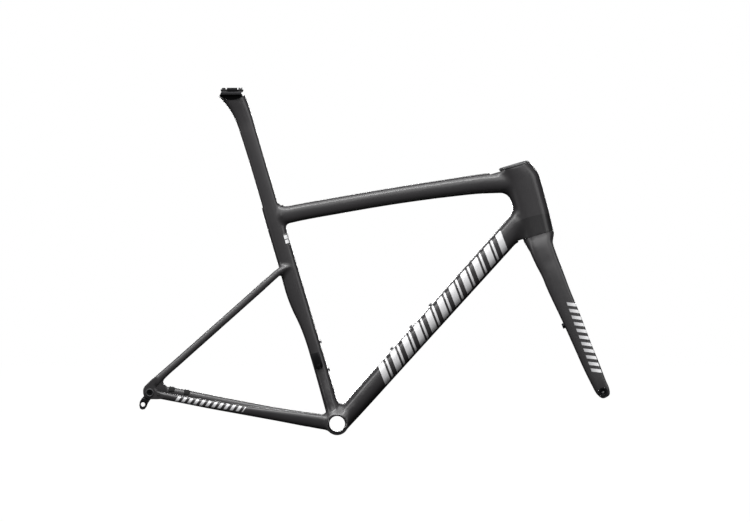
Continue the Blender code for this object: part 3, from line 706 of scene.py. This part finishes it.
class Finish:
    """One procedural material."""

    def __init__(self, name, colour, roughness, metallic=0.0, coat=0.0, coat_roughness=0.2):
        self.material = bpy.data.materials.new(name)
        self.material.use_nodes = True
        self.material.diffuse_color = (*colour, 1)
        self.tree = self.material.node_tree
        self.shader = self.tree.nodes["Principled BSDF"]
        self.set(
            {
                "Base Color": (*colour, 1),
                "Roughness": roughness,
                "Metallic": metallic,
                "Coat Weight": coat,
                "Coat Roughness": coat_roughness,
            }
        )
        where = self.node("ShaderNodeTexCoord")
        self.where = where.outputs["Object"]

    def node(self, kind, settings=None, inputs=None):
        """A node with its settings, such as an operation, and its sockets' values or links."""
        made = self.tree.nodes.new(kind)
        for name, value in (settings or {}).items():
            setattr(made, name, value)
        self.feed(made, inputs or {})
        return made

    def feed(self, node, inputs):
        for key, value in inputs.items():
            value = value.socket if isinstance(value, Value) else value
            if isinstance(value, bpy.types.NodeSocket):
                self.tree.links.new(value, node.inputs[key])
            else:
                node.inputs[key].default_value = value

    def set(self, inputs):
        """Sets or links the shader's own sockets."""
        self.feed(self.shader, inputs)

    def value(self, node, output=0):
        return Value(self, node.outputs[output])

    def noise(self, scale, detail=2.0, stretch=(1, 1, 1)):
        """Grain with that many waves a metre."""
        mapped = self.node("ShaderNodeMapping", {}, {"Vector": self.where, "Scale": stretch})
        made = self.node(
            "ShaderNodeTexNoise",
            {},
            {"Vector": mapped.outputs[0], "Scale": scale, "Detail": detail},
        )
        return self.value(made, "Fac")

    def along(self, origin, direction):
        """Millimetres from a point in a direction."""
        moved = self.node(
            "ShaderNodeVectorMath",
            {"operation": "SUBTRACT"},
            {0: self.where, 1: Vector(origin) * MM},
        )
        made = self.node(
            "ShaderNodeVectorMath",
            {"operation": "DOT_PRODUCT"},
            {0: moved.outputs[0], 1: Vector(direction) / MM},
        )
        return self.value(made, "Value")

    def mix(self, share, low, high):
        """A colour between two, by a share from 0 to 1."""
        made = self.node(
            "ShaderNodeMix", {"data_type": "RGBA"}, {"Factor": share, 6: low, 7: high}
        )
        return made.outputs[2]

    def bump(self, height, distance, strength=1.0):
        made = self.node(
            "ShaderNodeBump",
            {},
            {"Height": height, "Distance": distance * MM, "Strength": strength},
        )
        self.set({"Normal": made.outputs[0]})


def within(value, low, high):
    """1 between two limits and 0 outside them."""
    return (value > low) * (value < high)


def slanted_bands(finish, start, end, half, pitch, lean, bars):
    """Slanted bars along a line, with how far up the band a point is from 0 to 1."""
    start, end = Vector(start), Vector(end)
    run = (end - start).normalized()
    across = Vector((-run.z, 0, run.x))
    along = finish.along(start, run)
    over = finish.along(start, across)
    leaning = along - over * lean
    phase = leaning.math("FLOORED_MODULO", pitch) / pitch
    drawn = [within(phase, low, high) for low, high in bars]
    painted = sum(drawn[1:], drawn[0])
    room = within(over, -half, half) * within(leaning, 0, (end - start).length)
    return painted * room, over / (2 * half) + 0.5


def make_carbon():
    """Satin charcoal laminate: fine flake, faint plies, painted shade on the foot of the head tube, and pale print
    bands with painted shade towards one long edge.
    """
    look = Finish("satin_carbon", CHARCOAL, 0.36, coat=0.3, coat_roughness=0.24)
    cloud = look.noise(9, detail=3)
    flake = look.noise(2600, detail=1)
    plies = look.noise(420, detail=2, stretch=(0.12, 1, 0.5))
    shade = cloud * 0.6 + flake * 0.15 + plies * 0.25
    body = look.mix(shade, (*DEEP_CHARCOAL, 1), (*CHARCOAL, 1))

    # Painted shade: the foot of the head tube is mixed over halfway to near black, under a line that dips to its
    # front and back, fading out to the rear.
    height = look.along(STEER.foot, STEER.up)
    reach = look.along(STEER.foot, STEER.ahead)
    shade_edge = height - reach * reach * -0.0028
    fade = ((reach + 48) / 26).math("MINIMUM", 1.0).math("MAXIMUM", 0.0)
    lower = within(shade_edge, 1.0, 43.0) * fade
    body = look.mix(lower * 0.55, body, (*HEAD_PAINTED_SHADE, 1))

    # The pale bands are print with painted shade: each is pale grey at one long edge and darker grey at the other,
    # the lower edge on the down tube and stay and the rear edge on the fork leg. The seat tube patch stays near
    # the pale end.
    masks = []
    band_light_share = None
    for line in BANDS:
        mask, up = slanted_bands(look, **line)
        masks.append(mask)
        part = mask * up
        band_light_share = part if band_light_share is None else band_light_share + part
    patch = within(look.along(SEAT.foot, SEAT.up), 410, 431)
    patch = patch * within(look.along(SEAT.foot, SEAT.ahead), 9.5, 17.5)
    rungs = look.along(SEAT.foot, SEAT.up).math("FLOORED_MODULO", 10.5) < 8.6
    masks.append(patch * rungs)
    band_light_share = band_light_share + masks[-1] * 0.8
    pale = sum(masks[1:], masks[0]).math("MINIMUM", 1.0)
    ink = look.mix(band_light_share, (*BAND_PAINTED_SHADE, 1), (*BAND_LIT, 1))
    look.set(
        {
            "Base Color": look.mix(pale, body, ink),
            "Roughness": shade * 0.1 + 0.31 - pale * 0.03,
        }
    )
    look.bump(plies, 0.006, 0.3)
    return look.material


def make_metal(name, colour, roughness, metallic=1.0, grain=900, direction=(1, 0.06, 1)):
    """Turned or forged metal with fine tool marks and slightly uneven sheen."""
    look = Finish(name, colour, roughness, metallic)
    marks = look.noise(grain, detail=2, stretch=direction)
    cloud = look.noise(45, detail=3)
    darker = tuple(0.72 * c for c in colour)
    look.set(
        {
            "Base Color": look.mix(cloud * 0.6 + marks * 0.4, (*darker, 1), (*colour, 1)),
            "Roughness": marks * 0.16 + (roughness - 0.07),
        }
    )
    look.bump(marks, 0.02, 0.4)
    return look


def make_axle_metal_painted_glint():
    """Black anodised axle with a painted highlight: a bright disc round its centre line, seen at the floor of its
    sockets.
    """
    look = make_metal("black_axle", (0.022, 0.022, 0.024), 0.36, 0.85)
    across = look.along(FRONT_AXLE, (1, 0, 0))
    over = look.along(FRONT_AXLE, UP)
    away = (across * across + over * over).math("SQRT")
    # Painted highlight: near white within 2.5 mm of the front axle's centre line.
    painted_glint = away < 2.5
    old = look.shader.inputs["Base Color"].links[0].from_socket
    look.set({"Base Color": look.mix(painted_glint, old, (0.8, 0.8, 0.8, 1))})
    return look.material


def make_plastic(name, colour, roughness):
    """Moulded plastic or rubber with a fine spark-eroded grain."""
    look = Finish(name, colour, roughness)
    grain = look.noise(1800, detail=2)
    cloud = look.noise(30, detail=2)
    darker = tuple(0.7 * c for c in colour)
    look.set(
        {
            "Base Color": look.mix(cloud * 0.6 + grain * 0.4, (*darker, 1), (*colour, 1)),
            "Roughness": grain * 0.15 + (roughness - 0.08),
        }
    )
    look.bump(grain, 0.04, 0.5)
    return look.material


CHARCOAL = (0.0345, 0.0330, 0.0345)
DEEP_CHARCOAL = (0.0235, 0.0223, 0.0238)
# near black painted shade for the foot of the head tube
HEAD_PAINTED_SHADE = (0.006, 0.006, 0.0065)
# print band colours: the lit pale grey, and the painted shade at the band's other edge
BAND_LIT = (0.86, 0.86, 0.87)
BAND_PAINTED_SHADE = (0.42, 0.42, 0.43)
PAIR = ((0.0, 0.42), (0.56, 0.7))
SINGLE = ((0.0, 0.5),)
BANDS = (
    dict(start=(98, 0, 106), end=(369, 0, 407), half=20.0, pitch=38.5, lean=0.5, bars=PAIR),
    dict(start=(514.5, 0, 266), end=(572, 0, 107), half=10.0, pitch=15.4, lean=0.5, bars=SINGLE),
    dict(start=(-352, 0, 55.5), end=(-203, 0, 32.0), half=6.2, pitch=13.5, lean=0.5, bars=SINGLE),
)
LOOKS = {
    "carbon": make_carbon(),
    "black_alloy": make_metal("black_anodised", (0.026, 0.026, 0.028), 0.38, 0.85).material,
    "silver_alloy": make_metal("bare_alloy", (0.66, 0.66, 0.67), 0.3).material,
    "steel": make_metal("dark_steel", (0.14, 0.14, 0.15), 0.32).material,
    "plastic": make_plastic("matte_plastic", (0.012, 0.012, 0.013), 0.5),
    # the cap's lighter grey is partly its own tone and partly a painted highlight on its side face
    "cap": make_plastic("grey_plastic", (0.085, 0.085, 0.088), 0.42),
    "rubber": make_plastic("black_rubber", (0.018, 0.018, 0.018), 0.75),
    "axle": make_axle_metal_painted_glint(),
    "grey_alloy": make_metal("grey_anodised", (0.11, 0.11, 0.115), 0.36, 0.7).material,
}


# Hardware -------------------------------------------------------------------------------------
def thread(radius, low, high, pitch=1.0, depth=0.55):
    """The zigzag outline of a threaded stretch."""
    count = round((high - low) / pitch)
    points = []
    for i in range(count):
        points.append((radius, low + (i + 0.1) * pitch))
        points.append((radius - depth, low + (i + 0.5) * pitch))
    return points + [(radius, high)]


def turned(name, outline, place, direction, look, body, replaces, socket=None, steps=48):
    """A turned piece. A socket is its radius, the height it opens at and its depth."""
    bm = bmesh.new()
    lathe(bm, outline, place, direction, steps)
    made = thing(name, bm)
    if socket:
        radius, height, deep = socket
        bm = bmesh.new()
        rod(bm, place + direction * (height - deep + 5), direction, radius, 2 * 5, count=6)
        carve(made, bm)
    return fit(made, LOOKS[look], body, replaces, sharp=28)


def make_sleeve():
    """The metal sleeve through the shell, threaded from both ends."""
    inner = 17.9
    deep = 24.0
    half = SHELL_HALF
    groove = 0.6
    outline = [(inner, -half + 0.4), (inner + 0.5, -half), (19.6, -half), (20.0, -half + 0.4)]
    outline += [(20.0, half - 0.4), (19.6, half), (inner + 0.5, half), (inner, half - 0.4)]
    for start in (half - 1.5, -half + 1.5 + deep):
        for i in range(int(deep)):
            outline.append((inner, start - i))
            outline.append((inner - groove, start - i - 0.5))
    turned(
        "bottom_bracket_thread",
        outline,
        Vector(),
        SIDE,
        "black_alloy",
        "frame",
        ["bottom_bracket_sleeve"],
        steps=96,
    )


SCREW_BELOW = 72.0
SCREW_PITCH = 64.0
BOTTLE_BOLT = (
    (0, -5),
    (2.3, -5),
    (2.3, 0.3),
    (4.3, 0.3),
    (4.6, 0.5),
    (4.6, 0.9),
    (4.3, 1.2),
    (3.9, 1.25),
    (3.7, 2.1),
    (3.1, 2.7),
    (2.2, 3.0),
    (0, 3.0),
)


def make_bottle_bolts():
    """Three screws on the down tube and two on the seat tube."""
    low, high = Vector((90.0, 0, 95.5)), Vector((300.0, 0, 330.1))
    along = (high - low).normalized()
    up = Vector((-along.z, 0, along.x))
    places = []
    for i in range(3):
        run = SCREW_BELOW + SCREW_PITCH * i
        places.append((f"down_{i + 1}", low + along * run + up * (22.9 + 0.008 * run), up))
    for i in range(2):
        places.append((f"seat_{i + 1}", SEAT.at(118.2 + SCREW_PITCH * i, 20.3), SEAT.ahead))
    for word, place, direction in places:
        turned(
            f"bottle_screw_{word}",
            BOTTLE_BOLT,
            place,
            direction,
            "steel",
            "frame",
            [f"bottle_bolt_{word}"],
            socket=(1.9, 3.0, 1.9),
        )


def make_axles():
    """Both through axles, each with a thread at its drive end and a head at the other."""
    for word, body, place, reach, start, look in (
        ("front", "front_axle", FRONT_AXLE, 62.6, -61.0, "axle"),
        ("rear", "rear_axle", REAR_AXLE, 79.6, -81.5, "black_alloy"),
    ):
        outline = [(0, start), (4.9, start), (5.3, start + 0.4)]
        outline += thread(5.85, start + 1, start + 13)
        outline += [
            (5.9, start + 13.5),
            (5.9, reach),
            (8.2, reach),
            (8.6, reach + 0.4),
            (8.6, reach + 2.6),
            (8.3, reach + 3.2),
            (7.5, reach + 3.8),
            (5.2, reach + 3.8),
            (4.8, reach + 3.4),
            (0, reach + 3.4),
        ]
        made = turned(
            f"{word}_thru_axle",
            outline,
            place,
            SIDE,
            look,
            body,
            [f"{word}_axle"],
            socket=(3.5, reach + 3.4, 5.0),
        )
        bm = bmesh.new()
        rod(bm, place + SIDE * start, SIDE, 3.5, 7, count=6)
        carve(made, bm)


def make_rear_end():
    """The small parts at the rear end, and those on the seat tube."""
    nut = (
        (6.2, 0),
        (8.0, 0),
        (8.0, 7.0),
        (9.0, 7.0),
        (9.3, 7.3),
        (9.3, 8.4),
        (8.8, 9.0),
        (8.2, 9.2),
        (7.1, 9.2),
        (6.6, 8.7),
        (6.2, 8.3),
    )
    place = REAR_AXLE - SIDE * DRIVE_FACE
    turned("axle_nut", nut, place, -SIDE, "grey_alloy", "frame", ["rear_axle_nut"])
    screw = ((0, -5.5), (1.7, -5.5), (1.7, -1.9), (2.9, -1.9), (2.9, -0.5), (2.6, -0.2), (0, -0.2))
    turned(
        "hanger_fixing",
        screw,
        Vector((-424.0, -79.0, 53.8)),
        -SIDE,
        "steel",
        "frame",
        ["hanger_screw"],
        socket=(1.3, -0.2, 1.2),
        steps=32,
    )
    plug = (
        (0, -2.6),
        (2.9, -2.6),
        (2.9, 0.3),
        (3.9, 0.3),
        (3.8, 0.8),
        (3.3, 1.2),
        (2.2, 1.3),
        (0, 1.3),
    )
    turned(
        "wire_port_cap",
        plug,
        Vector((-391.5, -81.0, 66.0)),
        -SIDE,
        "rubber",
        "frame",
        ["wire_port_plug"],
        steps=32,
    )
    refined("derailleur_hanger", "hanger", "black_alloy", "frame", 0.7)
    refined("front_derailleur_mount", "front_mech_mount", "black_alloy", "frame", 0.7)
    screw = (
        (0, -3.4),
        (2.0, -3.4),
        (2.0, 0.3),
        (3.3, 0.3),
        (3.6, 0.6),
        (3.6, 1.6),
        (3.0, 2.4),
        (0, 2.4),
    )
    turned(
        "front_mech_screw",
        screw,
        SEAT.at(131.5, 1.5, -21.0),
        -SIDE,
        "black_alloy",
        "frame",
        ["front_derailleur_screw"],
        socket=(1.6, 2.4, 1.5),
        steps=32,
    )
    refined("seatpost_wedge_cap", "wedge_cover", "rubber", "frame", 0.5)


def refined(node, name, look, body, width, segments=2, angle=30):
    """A CAD node's shape with its edges rounded."""
    bm = copy_of(node)
    soften(bm, width, angle, segments)
    return fit(thing(name, bm), LOOKS[look], body, [node], sharp=30)


def make_brake_inserts():
    """Two threaded pads on the chain stay, each over a black rubber block that is painted shade for the shadowed
    recess there, and two behind the fork leg.
    """

    def insert(pad, proud):
        return (
            (2.6, -8),
            (4.4, -8),
            (4.4, 0.3),
            (pad, 0.3),
            (pad, proud - 0.5),
            (pad - 0.5, proud),
            (3.4, proud),
            (2.6, proud - 0.8),
        )

    low, high = Vector((-280.0, 61.0, 48.7)), Vector((-350.0, 71.0, 62.6))
    along = Vector((low.x - high.x, 0, low.z - high.z)).normalized()
    up = Vector((-along.z, 0, along.x))
    spots = []
    for i, x in enumerate((-333.0, -367.0)):
        place = high.lerp(low, (x - high.x) / (low.x - high.x)) + up * 13.2
        spots.append((f"rear_brake_insert_{i + 1}", place, up, insert(6.2, 1.8), "frame"))
        # Painted shade: a black block under the pad stands for the shadowed recess.
        bm = bmesh.new()
        shade_block_axis = Axis(place - up * 4.2 - SIDE * 5.0, up)
        block(bm, shade_block_axis.at(0), (13.0, 9.0, 10.6), shade_block_axis)
        soften(bm, 1.4, segments=3)
        shade_block = thing(f"rear_brake_shoe_{i + 1}", bm)
        fit(shade_block, LOOKS["rubber"], "frame")
    low, high = (Vector((row[0], row[2], row[1])) for row in (FORK_LEG[7], FORK_LEG[5]))
    back = Vector((low.z - high.z, 0, high.x - low.x)).normalized()
    for i, (share, sunk) in enumerate(((0.40, 0.0), (1.0, 1.6))):
        place = low.lerp(high, share) + back * (17.5 + 2.9 * share - sunk)
        outline = insert(6.0, 5.4 - 3.2 * i)
        spots.append((f"front_brake_insert_{i + 1}", place, back, outline, "fork"))
    for name, place, out, outline, body in spots:
        turned(
            name.replace("insert", "pad"),
            outline,
            place,
            out,
            "black_alloy",
            body,
            [name],
            steps=40,
        )


def make_headset():
    """The covers above the head tube, the seal below it and the cap's screw."""
    top = HEAD_LENGTH
    rows = (
        (top + 0.3, -33.4, 34.0, 57.4),
        (top + 0.9, -33.8, 34.4, 58.0),
        (top + 2.9, -34.5, 33.2, 57.7),
        (top + 3.5, -34.2, 32.6, 57.1),
    )
    bm = bmesh.new()
    band_tube(bm, STEER, rows, step=0.6, count=96, **HEAD_SHAPE)
    cover = thing("headset_lower_layer", bm)
    bm = bmesh.new()
    rod(bm, STEER.at(top), STEER.up, 21.5, 30)
    carve(cover, bm)
    fit(cover, LOOKS["plastic"], "frame", ["headset_cover"])
    # A black rubber seal closes the gap under the head tube. Its black is partly the seal's own and partly painted
    # shade for the dark gap.
    bm = bmesh.new()
    band_tube(bm, STEER, ((-0.7, -27.5, 41.2, 59.2), (0.6, -27.5, 41.2, 59.2)), **HEAD_SHAPE)
    seal = thing("lower_seal", bm)
    bm = bmesh.new()
    rod(bm, STEER.at(0), STEER.up, 24.5, 30)
    carve(seal, bm)
    fit(seal, LOOKS["rubber"], "frame")
    rows = (
        (top + 3.8, -34.4, 32.2, 57.0),
        (top + 4.3, -34.8, 32.6, 57.6),
        (top + 5.8, -34.7, 30.6, 56.5),
        (top + 6.8, -33.9, 27.9, 54.2),
        (top + 7.4, -32.6, 25.4, 51.4),
    )
    bm = bmesh.new()
    band_tube(bm, STEER, rows, step=0.5, count=96, **HEAD_SHAPE)
    cap = thing("headset_top_layer", bm)
    bm = bmesh.new()
    sink = ((0, -6), (3.3, -6), (3.3, 3.9), (6.6, 3.9), (6.6, 9), (0, 9))
    lathe(bm, sink, STEER.at(top), STEER.up)
    carve(cap, bm)
    # The top layer's lighter grey is partly the cap's own tone and partly a painted highlight.
    fit(cap, LOOKS["cap"], "fork", ["headset_cap"])
    bolt = (
        (0, -34),
        (3.0, -34),
        (3.0, 4.2),
        (5.9, 4.2),
        (6.2, 4.5),
        (6.2, 6.3),
        (5.6, 7.1),
        (5.0, 7.2),
        (0, 7.2),
    )
    turned(
        "headset_screw",
        bolt,
        STEER.at(top),
        STEER.up,
        "steel",
        "fork",
        ["headset_cap_bolt"],
        socket=(2.9, 7.2, 2.8),
    )


def make_fork_ends():
    """The metal bushes round the front axle."""
    bush = (
        (6.2, 0.5),
        (6.7, 0),
        (9.5, 0),
        (10.0, 0.5),
        (10.0, 11.9),
        (9.6, 12.3),
        (6.7, 12.3),
        (6.2, 11.8),
    )
    for word, side in (("right", -1), ("left", 1)):
        turned(
            f"fork_end_{word}",
            bush,
            FRONT_AXLE + SIDE * side * HUB_FRONT,
            SIDE * side,
            "black_alloy",
            "fork",
            [f"fork_dropout_{word}"],
        )


def make_saddle_clamp():
    """The cradle and yoke that hold the saddle's rails, and their two screws."""
    bm = copy_of("saddle_cradle")
    cradle = thing("rail_cradle", bm)
    bm = bmesh.new()
    for side in (-1, 1):
        block(bm, Vector((-233, side * 25, 712.5)), (80, 20, 20))
    carve(cradle, bm)
    bm = in_millimetres(cradle)
    bmesh.ops.dissolve_limit(bm, angle_limit=math.radians(0.5), verts=bm.verts, edges=bm.edges)
    soften(bm, 0.6)
    grown_from(cradle, bm)
    fit(cradle, LOOKS["black_alloy"], "saddle_clamp", ["saddle_cradle"], 30)
    refined("saddle_yoke", "rail_yoke", "black_alloy", "saddle_clamp", 1.0, 3)
    bm = bmesh.new()
    block(bm, Vector((-231, 0, 730.3)), (48, 14, 2.6))
    soften(bm, 0.3)
    spacer = thing("clamp_spacer", bm)
    bm = bmesh.new()
    for x in CLAMP_SCREWS:
        rod(bm, Vector((x, 0, 730)), UP, 2.7, 20)
    carve(spacer, bm)
    fit(spacer, LOOKS["rubber"], "saddle_clamp")
    head = (
        (0, -17),
        (2.3, -17),
        (2.3, 0.3),
        (4.2, 0.3),
        (4.4, 0.6),
        (4.4, 3.2),
        (4.0, 3.8),
        (3.5, 4.0),
        (0, 4.0),
    )
    knob = (
        (0, -15),
        (2.3, -15),
        (2.3, 0.3),
        (4.0, 0.3),
        (4.2, 0.6),
        (4.2, 2.2),
        (3.7, 2.9),
        (2.9, 3.2),
        (0, 3.2),
    )
    for word, x, outline, look in (
        ("front", CLAMP_SCREWS[0], head, "silver_alloy"),
        ("rear", CLAMP_SCREWS[1], knob, "black_alloy"),
    ):
        top = outline[-1][1]
        turned(
            f"clamp_screw_{word}",
            outline,
            Vector((x, 0, 735.2)),
            UP,
            look,
            "saddle_clamp",
            [f"clamp_bolt_{word}"],
            socket=(2.2, top, 2.2),
        )


def build():
    """All pieces, and the CAD nodes that stay in sight."""
    front, rear = make_frame_skin()
    bonded = ["head_tube", "top_tube", "down_tube", "seat_tube", "bottom_bracket_shell"]
    stays = [f"{kind}_{word}" for kind in REAR_KINDS for word in ("left", "right")]
    fit(front, LOOKS["carbon"], "frame", bonded, sharp=55)
    fit(rear, LOOKS["carbon"], "frame", stays, sharp=55)
    legs = ["fork_crown", "fork_leg_left", "fork_leg_right"]
    fit(make_fork_skin(), LOOKS["carbon"], "fork", legs, sharp=55)
    fit(make_seatpost_skin(), LOOKS["carbon"], "seatpost", ["seatpost"], sharp=45)
    make_sleeve()
    make_bottle_bolts()
    make_axles()
    make_rear_end()
    make_brake_inserts()
    make_headset()
    make_fork_ends()
    make_saddle_clamp()
    slots = {m["slot"] for m in frame["record"]["materials"]}
    for node in frame["nodes"].values():
        for place in node.material_slots:
            if place.material.name.split(".")[0] in slots:
                place.material = LOOKS[place.material.name.split(".")[0]]


# Studio ---------------------------------------------------------------------------------------
def make_world():
    """White to the camera, dim to everything else, so that the edges stay dark."""
    world = bpy.data.worlds.new("studio")
    world.use_nodes = True
    bpy.context.scene.world = world
    world.cycles.sampling_method = "NONE"
    tree = world.node_tree
    sky = tree.nodes["Background"]
    seen = tree.nodes.new("ShaderNodeLightPath")
    level = tree.nodes.new("ShaderNodeMapRange")
    level.inputs["To Min"].default_value = ROOM_LIGHT
    level.inputs["To Max"].default_value = 1.0
    tree.links.new(seen.outputs["Is Camera Ray"], level.inputs["Value"])
    tree.links.new(level.outputs[0], sky.inputs["Strength"])
    sky.inputs["Color"].default_value = (1, 1, 1, 1)


def make_floor():
    """A pale floor that the frame neither mirrors nor takes light from."""
    look = Finish("pale_floor", (0.3, 0.3, 0.3), 0.9)
    look.set({"Emission Color": (1, 1, 1, 1), "Emission Strength": 1.0})
    look.material.cycles.emission_sampling = "NONE"
    bm = bmesh.new()
    bmesh.ops.create_grid(bm, x_segments=1, y_segments=1, size=60000)
    bmesh.ops.translate(bm, vec=(0, 0, -450), verts=bm.verts)
    floor = thing("floor", bm)
    floor.data.materials.append(look.material)
    floor.visible_glossy = False
    floor.visible_diffuse = False


def make_light(name, place, width, height, power):
    """A soft box aimed at the middle of the frame."""
    data = bpy.data.lights.new(name, "AREA")
    data.shape = "RECTANGLE"
    data.size = width
    data.size_y = height
    data.energy = power
    made = bpy.data.objects.new(name, data)
    made.location = place
    aim = LIT_SPOT - Vector(place)
    made.rotation_euler = aim.to_track_quat("-Z", "Y").to_euler()
    made.visible_camera = False
    bpy.context.scene.collection.objects.link(made)


def make_camera():
    """A long lens, square on to the drive side."""
    data = bpy.data.cameras.new("camera")
    data.lens = 524.0
    data.sensor_width = 36.0
    data.clip_end = 200.0
    camera = bpy.data.objects.new("camera", data)
    camera.location = (0.0832, -24.0, 0.3577)
    camera.rotation_euler = (math.radians(90), 0, 0)
    bpy.context.scene.collection.objects.link(camera)
    bpy.context.scene.camera = camera


build()
make_world()
make_floor()
make_light("overhead", (0.1, -0.5, 2.6), 3.0, 1.0, 36)
make_light("key", (0.1, -2.0, 2.8), 3.4, 0.6, 100)
make_light("left_key", (-2.2, -1.6, 2.4), 1.2, 1.2, 26)
make_light("front_fill", (0.1, -3.2, 1.9), 3.0, 1.4, 28)
make_light("left_fill", (-3.5, -2.5, 0.9), 1.5, 2.0, 24)
make_light("right_fill", (3.0, -2.1, 1.7), 1.6, 1.6, 18)
make_light("back_fill", (0.1, 5.0, 0.7), 2.2, 1.0, 130)
make_light("back_top", (-0.8, 3.2, 2.2), 2.4, 0.8, 22)
make_camera()
bpy.context.scene.view_settings.view_transform = "Standard"
